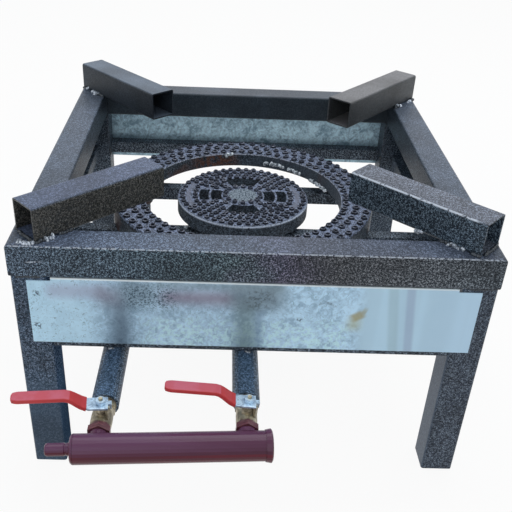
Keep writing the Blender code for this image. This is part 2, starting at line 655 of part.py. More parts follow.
def lever_line(s):
    """Height of the lever's mid-plane and the strip's width, at a distance s out from the stem."""
    height = LEVER_Z + LEVER_T / 2 + LEVER_RISE * smooth(s, 0.0130, LEVER_BENDS[-2])
    return height, 0.0185 - 0.0030 * smooth(s, 0.0120, 0.0155) - 0.0030 * smooth(s, 0.016, LEVER_BENDS[-2])


def strip(stations, corner):
    """Loft rounded rectangles along the lever's cranked line; stations are (s, extra width, thickness)."""
    bm = bmesh.new()
    rings = []
    for s, extra, thickness in stations:
        height, width = lever_line(s)
        slope = math.atan2(lever_line(s + 0.0005)[0] - lever_line(s - 0.0005)[0], 0.001)
        section = rounded_rectangle(width + extra, thickness, corner, 2)
        rings.append([bm.verts.new((-s + v * math.sin(slope), u, height + v * math.cos(slope))) for u, v in section])
    for low, high in zip(rings, rings[1:]):
        for i in range(len(low)):
            j = (i + 1) % len(low)
            bm.faces.new((low[i], low[j], high[j], high[i]))
    bm.faces.new(rings[0])
    bm.faces.new(reversed(rings[-1]))
    bmesh.ops.recalc_face_normals(bm, faces=bm.faces)
    return to_mesh(bm, "strip")


def lever():
    """Zinc-plated strip: plate round the stem, bent-down stop tail, crank and grip."""
    spots = (-0.0075, 0.0, 0.0130, *LEVER_BENDS, 0.0600)
    arm = strip([(s, 0.0, LEVER_T) for s in spots] + [(LEVER_LEN, -0.002, LEVER_T)], 0.0004)
    low = LEVER_Z
    tail = block((0.0062, 0.0056, LEVER_T), (0.0082, 0.0, low + LEVER_T / 2))
    tab = block((0.0022, 0.0056, 0.0052), (0.0102, 0.0, low - 0.0012))
    return joined(arm, ("UNION", tail), ("UNION", tab), ("DIFFERENCE", block((0.0046, 0.0046, 0.01), (0, 0, low))))


def lever_sleeve():
    """Soft sleeve pushed over the grip, open at the stem end and rounded at the tip."""
    wrap = 2 * (SLEEVE_WALL + GAP)
    spots = (SLEEVE_START, *LEVER_BENDS[1:], 0.0600, 0.0840)
    skin = strip([(s, wrap, LEVER_T + wrap) for s in spots]
                 + [(LEVER_LEN - 0.0005, wrap - 0.0016, LEVER_T + wrap), (LEVER_LEN + 0.0018, -0.0010, LEVER_T + wrap),
                    (LEVER_LEN + 0.0030, -0.0058, LEVER_T + wrap - 0.001)], 0.0011)
    spots = (0.0140, *LEVER_BENDS, 0.0600, LEVER_LEN + GAP)
    pocket = strip([(s, 2 * GAP, LEVER_T + 2 * GAP) for s in spots], 0.0003)
    return joined(skin, ("DIFFERENCE", pocket))


def lever_nut():
    return joined(hexagon(0.010, LEVER_Z + LEVER_T + GAP, LEVER_Z + 0.0073),
                  ("DIFFERENCE", rod(0.0022 + GAP, LEVER_Z, LEVER_Z + 0.020, sides=16)))


def injector():
    """Jet with a collar that plugs the mixing pipe's mouth and holds the jet on the pipe's axis."""
    collar = PIPE_R - PIPE_WALL - GAP
    spigot = PORT_R - GAP
    tip = MOUTH_OFFSET + 0.016
    body = turned([(0.0, tip), (0.0020, tip), (0.0042, tip - 0.006), (0.0042, MOUTH_OFFSET + 0.005),
                   (collar, MOUTH_OFFSET + 0.005), (collar, TAIL_END + GAP), (spigot, TAIL_END + GAP),
                   (spigot, TAIL_END - 0.006), (0.0, TAIL_END - 0.006)], ROUND, "Y")
    return joined(body, ("DIFFERENCE", rod(0.0010, 0.0, 0.06, "Y", sides=10)))


def build_valves():
    z = pipe_axis_z()
    fixed = (("valve_body", valve_body(), BRASS), ("valve_tail", valve_tail(), BRASS),
             ("valve_seat_front", valve_seat(-1), PTFE), ("valve_seat_rear", valve_seat(1), PTFE),
             ("gland_nut", gland_nut(), BRASS), ("injector", injector(), BRASS))
    turning = (("valve_ball", valve_ball(), CHROME), ("valve_stem", valve_stem(), BRASS), ("lever", lever(), ZINC),
               ("lever_sleeve", lever_sleeve(), VINYL), ("lever_nut", lever_nut(), ZINC))
    for side, x in (("left", RING_FEED_X), ("right", BURNER_X + FEED_SHIFT)):
        seat = empty("valve_axis_" + side, (x, VALVE_Y[side], z), VALVE_ROLL_DEG[side])
        for name, mesh, spec in fixed:
            place(name + "_" + side, mesh, spec, parent=seat)
        swing = empty("lever_pivot_" + side, (0.0, 0.0, 0.0), turn=LEVER_AJAR_DEG[side], parent=seat)
        for name, mesh, spec in turning:
            place(name + "_" + side, mesh, spec, parent=swing)


clear_scene()
PARTS = make_collection("propane_burner_stand")
ROOT = None
ROOT = empty("stand_origin", (0.0, stand_centre(), 0.0))
LEG_FACE = build_frame()
build_sheets(LEG_FACE)
build_ring_burner()
build_head_burner()
build_mixing_pipe("left", RING_FEED_X, RING_FEED_Y)
build_mixing_pipe("right", BURNER_X + FEED_SHIFT, 0.0)
build_manifold()
build_valves()
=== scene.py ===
"""Looks of the propane burner stand: enamels, galvanised sheet, cast burners, welds and studio.

Metres, +Z up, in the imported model's frame. The stand's own centre lies CENTRE_Y behind the origin, because the
gas manifold juts out in front, so sizes read from the middle of the square frame are carried back by that much.
"""
from __future__ import annotations

import logging
import math
from dataclasses import dataclass, field
from enum import Enum
from functools import reduce
from typing import Protocol, Union

import bmesh
import bpy
from mathutils import Matrix, Vector

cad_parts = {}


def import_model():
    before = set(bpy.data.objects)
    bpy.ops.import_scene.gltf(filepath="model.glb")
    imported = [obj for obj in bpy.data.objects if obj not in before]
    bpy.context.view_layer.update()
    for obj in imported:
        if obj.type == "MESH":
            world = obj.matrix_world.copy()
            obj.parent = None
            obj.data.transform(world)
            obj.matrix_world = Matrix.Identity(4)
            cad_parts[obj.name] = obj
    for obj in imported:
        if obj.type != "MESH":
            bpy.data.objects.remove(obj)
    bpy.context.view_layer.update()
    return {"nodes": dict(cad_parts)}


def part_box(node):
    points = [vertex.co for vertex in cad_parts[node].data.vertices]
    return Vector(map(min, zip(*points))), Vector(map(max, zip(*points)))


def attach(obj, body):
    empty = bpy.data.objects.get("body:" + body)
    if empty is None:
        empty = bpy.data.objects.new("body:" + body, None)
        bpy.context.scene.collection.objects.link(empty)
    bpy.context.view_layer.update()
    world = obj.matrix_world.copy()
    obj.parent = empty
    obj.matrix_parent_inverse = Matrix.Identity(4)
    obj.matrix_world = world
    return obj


log = logging.getLogger("burner_stand")

Point = tuple[float, float, float]
Colour = tuple[float, float, float]
Spot = tuple[float, float]
PaintedLight = tuple[Colour, float]  # a colour and its share, 0 to 1
Line = tuple[Point, Point, float, float]  # start, end, reach, and how whole the line is
Socket = bpy.types.NodeSocket
Material = bpy.types.Material
Amount = Union[Socket, float]
Tint = Union[Socket, Colour]
Inputs = dict[Union[str, int], object]  # sockets or values by input name or index

# The stand: how far its middle lies behind the origin, its width, and its top rails' height.
CENTRE_Y = 0.0821453
FRAME_W = 0.55
TOP_Z = 0.324
# From the frame's middle: both burners' axis, and the front wind sheet's outer face.
BURNER_X = -0.010
SHEET_FACE_Y = -0.2748

# The sprayed coat's worm-like flecks: lumps a metre, the share of that for the breaks, and the noise's middle.
FLECK_SCALE = 620.0
FLECK_BREAKS = 0.72
NOISE_MIDDLE = 0.505
# How far either side of its height a leg's calm part fades.
CALM_FADE = 0.03
# How far a line's ends fade, and the share of its reach that is whole.
LINE_FADE = 0.004
LINE_CORE = 0.35
# Range of a noise that a finish's roughness follows.
GRAIN_LOW, GRAIN_HIGH = 0.3, 0.7
# How squarely a side has to face along an axis to start and to be fully tinted.
TURNED_LOW, TURNED_HIGH = 0.45, 0.85

# Tints of the enamel's film, by which it is multiplied, and the bright colour of edge lines: steel where the
# paint is worn off, and painted highlight along lit edges.
BLUE: Colour = (0.92, 1.02, 1.10)
SAND: Colour = (1.10, 1.04, 0.96)
TEAL: Colour = (0.90, 1.06, 1.02)
GREEN: Colour = (0.92, 1.04, 0.95)
PURPLE: Colour = (1.20, 0.92, 1.06)
BROWN: Colour = (1.22, 1.02, 0.90)
WEAR_AND_HIGHLIGHT: Colour = (0.60, 0.66, 0.76)


class Body(Enum):
    """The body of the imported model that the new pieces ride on."""

    STAND = "stand"


class Slot(Enum):
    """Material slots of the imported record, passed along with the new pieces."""

    PAINT = "hammertone_paint"
    IRON = "cast_iron"


def srgb(red: int, green: int, blue: int) -> Colour:
    """A colour as it should look on screen, as the linear numbers a shader takes.

    Args:
        red: Red, 0 to 255.
        green: Green, 0 to 255.
        blue: Blue, 0 to 255.

    Returns:
        The linear colour.
    """

    def linear(value: int) -> float:
        """One channel."""
        v = value / 255
        return v / 12.92 if v <= 0.04045 else ((v + 0.055) / 1.055) ** 2.4

    return linear(red), linear(green), linear(blue)


def scaled(colour: Colour, by: float) -> Colour:
    """A colour made brighter or darker."""
    return tuple(by * c for c in colour)


def between(first: Colour, second: Colour, share: float) -> Colour:
    """A colour on the way from one to another."""
    return tuple((1.0 - share) * a + share * b for a, b in zip(first, second))


def lift(point: Point) -> Vector:
    """A point measured from the middle of the square frame, carried into the model's frame."""
    return Vector((point[0], point[1] + CENTRE_Y, point[2]))


# --- nodes -------------------------------------------------------------------------------------------------
def feed(target: Socket, value: object) -> None:
    """Put a socket or a plain value into a node's input.

    Args:
        target: The input.
        value: What goes in; a colour has three numbers.
    """
    if isinstance(value, bpy.types.NodeSocket):
        target.id_data.links.new(value, target)
    else:
        target.default_value = (*value, 1.0) if target.type == "RGBA" else value


def add_node(tree: bpy.types.NodeTree, kind: str, inputs: Inputs | None = None,
             **settings: object) -> bpy.types.Node:
    """Add a node, set its options and feed its inputs.

    Args:
        tree: The tree it goes in.
        kind: The node's type.
        inputs: Sockets or values by input name or index.
        **settings: The node's options.

    Returns:
        The node.
    """
    node = tree.nodes.new(kind)
    for key, value in settings.items():
        setattr(node, key, value)
    for key, value in (inputs or {}).items():
        feed(node.inputs[key], value)
    return node


class Bench:
    """Lays out the nodes of one finish."""

    def __init__(self, name: str) -> None:
        """Start a finish with a Principled shader, the object's own coordinates and the way its surface faces.

        Args:
            name: The finish's name.
        """
        self.material = bpy.data.materials.new(name)
        self.material.use_nodes = True
        self.tree = self.material.node_tree
        self.tree.nodes.clear()
        self.shader = self.node("BsdfPrincipled")
        self.node("OutputMaterial", {0: self.shader.outputs[0]})
        self.place = self.node("TexCoord").outputs["Object"]
        self.axis = self.node("SeparateXYZ", {0: self.place}).outputs
        normal = self.node("NewGeometry").outputs["Normal"]
        self.facing = self.node("SeparateXYZ", {0: normal}).outputs

    def node(self, kind: str, inputs: Inputs | None = None, **settings: object) -> bpy.types.Node:
        """Add one of the shader nodes, with its inputs and options."""
        return add_node(self.tree, "ShaderNode" + kind, inputs, **settings)

    def math(self, kind: str, a: Amount, b: Amount = 0.0) -> Socket:
        """One sum of two amounts."""
        return self.node("Math", {0: a, 1: b}, operation=kind).outputs[0]

    def times(self, *amounts: Amount) -> Amount:
        """The product of the amounts."""
        return reduce(lambda a, b: self.math("MULTIPLY", a, b), amounts)

    def blend(self, *parts: tuple[Amount, float]) -> Amount:
        """The sum of amounts, each times its own weight."""
        return reduce(lambda a, b: self.math("ADD", a, b), [self.times(*part) for part in parts])

    def off(self, value: Amount, middle: float) -> Socket:
        """How far an amount is from a middle."""
        return self.math("ABSOLUTE", self.math("SUBTRACT", value, middle))

    def away(self, *centre: tuple[int, float]) -> Socket:
        """How far the place is from a line along the third axis, given by its place on the other two."""
        squares = [self.math("POWER", self.math("SUBTRACT", self.axis[i], c), 2.0) for i, c in centre]
        return self.math("SQRT", self.math("ADD", *squares))

    def stirred(self, value: Amount, noise: Socket, by: float) -> Socket:
        """An amount that a noise pushes to and fro."""
        return self.math("ADD", value, self.times(self.math("SUBTRACT", noise, 0.5), by))

    def spread(self, value: Amount, low: float, high: float, out_low: float = 0.0,
               out_high: float = 1.0) -> Socket:
        """Carry a range smoothly to another one.

        Args:
            value: The number to carry.
            low: Where the range starts.
            high: Where it ends.
            out_low: What the start becomes.
            out_high: What the end becomes.

        Returns:
            The carried number.
        """
        ends = {"From Min": low, "From Max": high, "To Min": out_low, "To Max": out_high}
        return self.node("MapRange", {"Value": value, **ends}, interpolation_type="SMOOTHSTEP").outputs[0]

    def towards(self, axis: int, sign: float) -> Socket:
        """A mask of what faces along an axis: 0 for x, 1 for y, and the sign of the way."""
        return self.spread(self.facing[axis], sign * TURNED_LOW, sign * TURNED_HIGH)

    def noise(self, scale: float, detail: float = 2.0, rough: float = 0.5, twist: float = 0.0,
              stretch: Point | None = None) -> Socket:
        """Cloudy noise.

        Args:
            scale: Lumps a metre.
            detail: How many finer layers it has.
            rough: How strong those are.
            twist: How far it is stirred.
            stretch: A scale for each axis, for a grain that runs one way.

        Returns:
            The noise, mostly 0.3 to 0.7.
        """
        place = self.place
        if stretch:
            place = self.node("Mapping", {"Vector": place, "Scale": stretch}).outputs[0]
        inputs = {"Vector": place, "Scale": scale, "Detail": detail, "Roughness": rough, "Distortion": twist}
        return self.node("TexNoise", inputs).outputs["Fac"]

    def flecks(self, thin: float, wide: float, low: float, high: float) -> tuple[Socket, Socket]:
        """Short worm-like dashes along the middle of a noise.

        Args:
            thin: How far from the noise's middle a dash is whole.
            wide: How far from it a dash ends.
            low: Where the second noise starts to show the dashes.
            high: Where it shows them fully.

        Returns:
            The noise, and a mask that is 1 on a dash.
        """
        lumps = self.noise(FLECK_SCALE, detail=1.0, twist=0.8)
        breaks = self.noise(FLECK_SCALE * FLECK_BREAKS, detail=1.0, twist=0.3)
        worms = self.spread(self.off(lumps, NOISE_MIDDLE), thin, wide, 1.0, 0.0)
        return lumps, self.times(worms, self.spread(breaks, low, high))

    def ramp(self, value: Amount, *stops: tuple[float, Colour]) -> Socket:
        """A colour for each number, with straight runs between the stops.

        Args:
            value: The number.
            *stops: Place and colour of each stop, the two ends first.

        Returns:
            The colour.
        """
        node = self.node("ValToRGB", {0: value})
        elements = node.color_ramp.elements
        for index, (spot, colour) in enumerate(stops):
            element = elements[index] if index < 2 else elements.new(spot)
            element.position = spot
            element.color = (*colour, 1.0)
        return node.outputs[0]

    def mix(self, share: Amount, a: Tint, b: Tint, blend: str = "MIX") -> Socket:
        """Blend two colours by a share of 0 to 1."""
        return self.node("Mix", {0: share, 6: a, 7: b}, data_type="RGBA", blend_type=blend).outputs[2]

    def over(self, base: Tint, colour: Tint, *masks: Amount) -> Socket:
        """Lay a colour over another one, as far as the masks' product says."""
        return self.mix(self.times(*masks), base, colour)

    def patch(self, low: Spot, high: Spot, soft: float, axes: tuple[int, int] = (0, 2)) -> Socket:
        """A soft-edged rectangle on two axes: 1 inside, 0 outside.

        Args:
            low: Its lower corner.
            high: Its upper corner.
            soft: How far its edges fade.
            axes: Which two axes of the place it lies on.

        Returns:
            The mask.
        """
        masks = []
        for axis, start, end in zip(axes, low, high):
            masks += [self.spread(self.axis[axis], start - soft, start + soft),
                      self.spread(self.axis[axis], end + soft, end - soft)]
        return self.times(*masks)

    def near_line(self, start: Point, end: Point, reach: float) -> Socket:
        """A mask round a straight line, 1 on it and 0 at reach.

        Args:
            start: One end of the line, from the middle of the frame.
            end: Its other end.
            reach: How far the mask goes.

        Returns:
            The mask.
        """

        def vector(kind: str, value: Socket, other: Vector) -> bpy.types.bpy_prop_collection:
            """One sum of two vectors."""
            return self.node("VectorMath", {0: value, 1: other}, operation=kind).outputs

        first, last = lift(start), lift(end)
        way, length = (last - first).normalized(), (last - first).length
        place = vector("SUBTRACT", self.place, first)[0]
        along = vector("DOT_PRODUCT", place, way)["Value"]
        across = vector("LENGTH", vector("CROSS_PRODUCT", place, way)[0], way)["Value"]
        return self.times(self.spread(across, reach * LINE_CORE, reach, 1.0, 0.0),
                          self.spread(along, -LINE_FADE, LINE_FADE),
                          self.spread(along, length + LINE_FADE, length - LINE_FADE))

    def finish(self, colour: Tint, grain: Socket, rough: tuple[float, float], metallic: float, specular: Amount,
               relief: Socket, strength: float, depth: float) -> Material:
        """Wire up the shader.

        Args:
            colour: The base colour.
            grain: The noise that the roughness follows.
            rough: Roughness where that noise is low and where it is high.
            metallic: How metallic it is.
            specular: The shader's specular level.
            relief: Height of the bumps.
            strength: Their strength.
            depth: Their depth in metres.

        Returns:
            The finished material.
        """
        bump = self.node("Bump", {"Strength": strength, "Distance": depth, "Height": relief})
        inputs = {"Base Color": colour, "Roughness": self.spread(grain, GRAIN_LOW, GRAIN_HIGH, *rough),
                  "Metallic": metallic, "Specular IOR Level": specular, "Normal": bump.outputs[0]}
        for name, value in inputs.items():
            feed(self.shader.inputs[name], value)
        return self.material


# --- finishes ----------------------------------------------------------------------------------------------
class Finish(Protocol):
    """A finish that can build its material."""

    def make(self) -> Material:
        """Build the finish."""


Coats = list[tuple[Finish, list[str]]]  # each finish with the CAD nodes that it goes on


@dataclass(frozen=True)
class HammerEnamel:
    """Hammered enamel: near-black blue-grey ground with fine silver flecks.

    Attributes:
        name: The finish's name.
        dark: Colour of the pits between the flecks.
        middle: Colour of the film.
        fleck: Colour of the flecks, which lie as short worm-like dashes.
        contrast: How strongly the flecks stand out, 0 to 1.
        hues: Tints along x, each as a place from the frame's middle and a factor for the film's colour.
        front_painted_light: Painted light on what faces forward: a factor for the film's colour there, with its
            share.
        right_painted_light: The same painted light, on what faces the frame's right, which is dull too.
        left_painted_light: Painted light on what faces the frame's left: its colour and its share.
        top_painted_light: Painted light on what faces up: its colour, on which the flecks show, and its share.
        calm_below: Height under which the flecks fade, or 0 for none.
        wear_and_highlight_lines: Bright edge lines: paint worn off to the steel, and painted highlight along lit
            edges.
        gloss: The shader's specular level.
    """

    name: str
    dark: Colour = (0.0085, 0.0135, 0.0215)
    middle: Colour = (0.026, 0.037, 0.053)
    fleck: Colour = (0.34, 0.42, 0.52)
    contrast: float = 1.0
    hues: tuple[tuple[float, Colour], ...] = ()
    front_painted_light: PaintedLight | None = None
    right_painted_light: PaintedLight | None = None
    left_painted_light: PaintedLight | None = None
    top_painted_light: PaintedLight | None = None
    calm_below: float = 0.0
    wear_and_highlight_lines: tuple[Line, ...] = ()
    gloss: float = 0.22

    def make(self) -> Material:
        """Build the finish.

        Returns:
            Its material.
        """
        b = Bench(self.name)
        lumps, glint = b.flecks(0.010, 0.072, 0.42, 0.55)
        ground: Tint = b.mix(b.spread(lumps, 0.38, 0.62), self.dark, self.middle)
        if self.calm_below:
            low, high = self.calm_below - CALM_FADE, self.calm_below + CALM_FADE
            glint = b.times(glint, b.spread(b.axis[2], low, high, 0.30, 1.0))
            ground = b.over(ground, scaled(self.middle, 1.15), b.spread(b.axis[2], high, low, 0.0, 0.75))
        drift = b.spread(b.noise(11.0, detail=3.0, rough=0.55), 0.36, 0.64, 0.80, 1.22)
        colour = b.mix(1.0, b.over(ground, self.fleck, glint, self.contrast), drift, "MULTIPLY")
        if self.hues:
            colour = self._hue(b, colour)
        gloss: Amount = self.gloss
        # Painted light: a tint of the light on what faces forward and on what faces right.
        for tint, axis, sign in ((self.front_painted_light, 1, -1.0), (self.right_painted_light, 0, 1.0)):
            if tint:
                colour = b.mix(b.times(b.towards(axis, sign), tint[1]), colour, tint[0], "MULTIPLY")
        if self.right_painted_light:
            gloss = b.spread(b.facing[0], TURNED_LOW, TURNED_HIGH, self.gloss, 0.0)
        # Painted light on what faces left.
        if self.left_painted_light:
            colour = b.over(colour, self.left_painted_light[0], b.towards(0, -1.0), self.left_painted_light[1])
        # Painted light on what faces up: a paler top colour, on which the flecks show.
        if self.top_painted_light:
            film, share = self.top_painted_light
            top_highlight = b.over(scaled(film, 0.72), scaled(film, 3.0), glint, 1.4 * self.contrast)
            up = b.spread(b.facing[2], 0.55, 0.95)
            colour = b.over(colour, b.mix(1.0, top_highlight, drift, "MULTIPLY"), up, share)
        # Bright edge lines: worn paint and painted highlight, broken by gaps.
        for start, end, reach, whole in self.wear_and_highlight_lines:
            gaps = b.spread(b.noise(260.0, detail=3.0, rough=0.6), 0.56 - 0.20 * whole, 0.62 - 0.20 * whole)
            colour = b.over(colour, WEAR_AND_HIGHLIGHT, b.near_line(start, end, reach), gaps)
        return b.finish(colour, lumps, rough=(0.50, 0.36), metallic=0.0, specular=gloss,
                        relief=b.blend((lumps, 1.0), (glint, 0.5)), strength=0.35, depth=0.0005)

    def _hue(self, b: Bench, colour: Socket) -> Socket:
        """Tint the film along x. A ramp holds no more than 1, so it has half of each tint.

        Args:
            b: The finish's bench.
            colour: The colour so far.

        Returns:
            The tinted colour.
        """
        place = b.stirred(b.axis[0], b.noise(24.0), 0.10)
        share = b.math("ADD", b.times(place, 1.0 / FRAME_W), 0.5)
        tint = b.ramp(share, *((0.5 + x / FRAME_W, scaled(hue, 0.5)) for x, hue in self.hues))
        return b.mix(1.0, b.mix(1.0, colour, (2.0, 2.0, 2.0), "MULTIPLY"), tint, "MULTIPLY")


@dataclass(frozen=True)
class GalvanisedSheet:
    """Galvanised sheet with faint spangle, drips and handling marks.

    Attributes:
        name: The finish's name.
        light: Colour of the bright spangle.
        dull: Colour of the dull spangle.
        mottle: How strong the white-rust mottle is, 0 to 1.
        front_marks: True for the front sheet, whose stains and reflections are laid out one by one.
    """

    name: str
    light: Colour = (0.56, 0.80, 1.0)
    dull: Colour = (0.26, 0.40, 0.53)
    mottle: float = 0.5
    front_marks: bool = False

    def make(self) -> Material:
        """Build the finish.

        Returns:
            Its material.
        """
        b = Bench(self.name)
        cloud = b.noise(48.0, detail=4.0, rough=0.62, twist=0.8)
        speck = b.noise(210.0, detail=3.0, rough=0.6, twist=0.6)
        curl = b.noise(120.0, rough=0.55, twist=1.6)
        spangle = b.spread(b.blend((cloud, 0.45), (curl, 0.35), (speck, 0.20)), 0.38, 0.60)
        sheet = b.ramp(spangle, (0.0, self.dull), (1.0, self.light),
                       (0.5, between(self.dull, self.light, 0.55)))
        sheet = b.mix(1.0 - self.mottle, sheet, between(self.dull, self.light, 0.78))
        scribble = b.times(b.spread(b.off(curl, 0.5), 0.004, 0.030, 1.0, 0.0), b.spread(speck, 0.44, 0.60))
        if self.front_marks:
            sheet = self._mark_front(b, sheet, scribble, speck)
        else:
            sheet = b.over(sheet, self.dull, scribble, 0.5)
        return b.finish(sheet, cloud, rough=(0.52, 0.40), metallic=0.35, specular=0.4,
                        relief=b.blend((cloud, 1.0), (speck, 0.4)), strength=0.12, depth=0.0006)

    @staticmethod
    def _mark_front(b: Bench, sheet: Tint, scribble: Amount, speck: Socket) -> Tint:
        """Lay the front sheet's stains, painted reflections, painted glare with dull bands on its right end, and
        a painted highlight along its top fold over it.

        Args:
            b: The finish's bench.
            sheet: The colour so far.
            scribble: Fine dark curls.
            speck: Fine noise that breaks the stains up.

        Returns:
            The marked colour.
        """
        x, z = b.axis[0], b.axis[2]
        # Painted glare on the right end: pale, with faint dull bands down it.
        bands = b.spread(b.noise(30.0, stretch=(1.0, 1.0, 0.02)), 0.40, 0.60, 0.0, 0.18)
        right_glare = b.mix(b.spread(x, 0.15, 0.26), srgb(186, 218, 238), srgb(186, 216, 238))
        sheet = b.over(sheet, b.mix(bands, right_glare, srgb(146, 172, 190)), b.spread(x, 0.112, 0.132))
        sheet = b.over(sheet, srgb(196, 232, 252), b.spread(x, -0.160, -0.205), 0.75)
        dull_part = b.spread(x, 0.118, 0.100)
        sheet = b.over(sheet, srgb(88, 122, 136), scribble, dull_part, 0.62)
        sheet = b.over(sheet, srgb(200, 236, 244), dull_part, b.spread(z, 0.244, 0.222),
                       b.spread(x, -0.14, -0.11), b.spread(speck, 0.46, 0.60), 0.75)
        # Stains and reflections: two corners as x and height, how far the edges fade, colour and share.
        for low, high, soft, tone, share in (
                ((-0.165, 0.10), (-0.142, 0.258), 0.012, (92, 112, 132), 0.72),
                ((-0.022, 0.10), (0.004, 0.262), 0.012, (112, 136, 138), 0.60),
                ((0.002, 0.10), (0.010, 0.250), 0.006, (118, 146, 176), 0.50),
                ((-0.235, 0.258), (-0.168, 0.276), 0.008, (166, 172, 198), 0.60),
                ((-0.180, 0.250), (-0.150, 0.274), 0.012, (124, 118, 136), 0.60),
                ((-0.152, 0.250), (-0.112, 0.284), 0.012, (112, 130, 142), 0.55),
                ((-0.108, 0.253), (-0.024, 0.272), 0.010, (142, 132, 152), 0.78),
                ((-0.030, 0.248), (0.034, 0.284), 0.014, (108, 124, 134), 0.70),
                ((-0.112, 0.274), (0.034, 0.284), 0.006, (122, 140, 148), 0.50),
                ((0.108, 0.224), (0.123, 0.242), 0.007, (174, 180, 148), 0.62)):
            sheet = b.over(sheet, srgb(*tone), b.patch(low, high, soft), share)
        # Drips and scrapes: two ends as x and height, reach, colour and share.
        for (x1, z1), (x2, z2), reach, tone, share in (
                ((0.155, 0.284), (0.166, 0.190), 0.0085, (150, 178, 186), 0.40),
                ((0.175, 0.284), (0.184, 0.190), 0.0072, (148, 162, 190), 0.48),
                ((0.1125, 0.2395), (0.1250, 0.2475), 0.0078, (162, 154, 112), 0.80),
                ((0.1240, 0.2460), (0.1275, 0.2540), 0.0036, (158, 156, 126), 0.60)):
            line = b.near_line((x1, SHEET_FACE_Y, z1), (x2, SHEET_FACE_Y, z2), reach)
            sheet = b.over(sheet, srgb(*tone), line, share)
        blots = b.spread(b.noise(420.0, twist=1.0), 0.50, 0.57)
        sheet = b.over(sheet, srgb(58, 82, 98), b.patch((-0.150, 0.246), (-0.090, 0.278), 0.010), blots, 0.85)
        soot = b.spread(speck, 0.46, 0.60)
        sheet = b.over(sheet, srgb(80, 94, 100), b.patch((-0.010, 0.250), (0.020, 0.276), 0.010), soot, 0.70)
        # Pits: x, height and half their width.
        ragged = b.spread(b.noise(380.0), 0.46, 0.54)
        for px, pz, half in ((-0.2466, 0.2627, 0.0034), (-0.2489, 0.2182, 0.0040), (-0.2284, 0.2289, 0.0014),
                             (-0.154, 0.200, 0.0012), (-0.231, 0.263, 0.0016), (-0.138, 0.204, 0.0014),
                             (-0.195, 0.236, 0.0012), (-0.212, 0.196, 0.0012), (0.052, 0.236, 0.0030)):
            pit = b.patch((px - half, pz - half), (px + half, pz + half), 0.002)
            sheet = b.over(sheet, srgb(46, 58, 78), pit, ragged, 0.80)
        arc = b.spread(b.off(b.away((0, 0.0800), (2, 0.246)), 0.0150), 0.0006, 0.0026, 1.0, 0.0)
        sheet = b.over(sheet, srgb(98, 112, 124), arc, b.spread(z, 0.252, 0.262), b.spread(speck, 0.36, 0.54),
                       0.75)
        # Painted highlight along the bend at the sheet's top.
        fold_highlight = b.patch((-0.2325, 0.2822), (0.2325, 0.2880), 0.0006)
        return b.over(sheet, srgb(232, 242, 246), fold_highlight, b.spread(x, 0.30, -0.20, 0.75, 0.95))


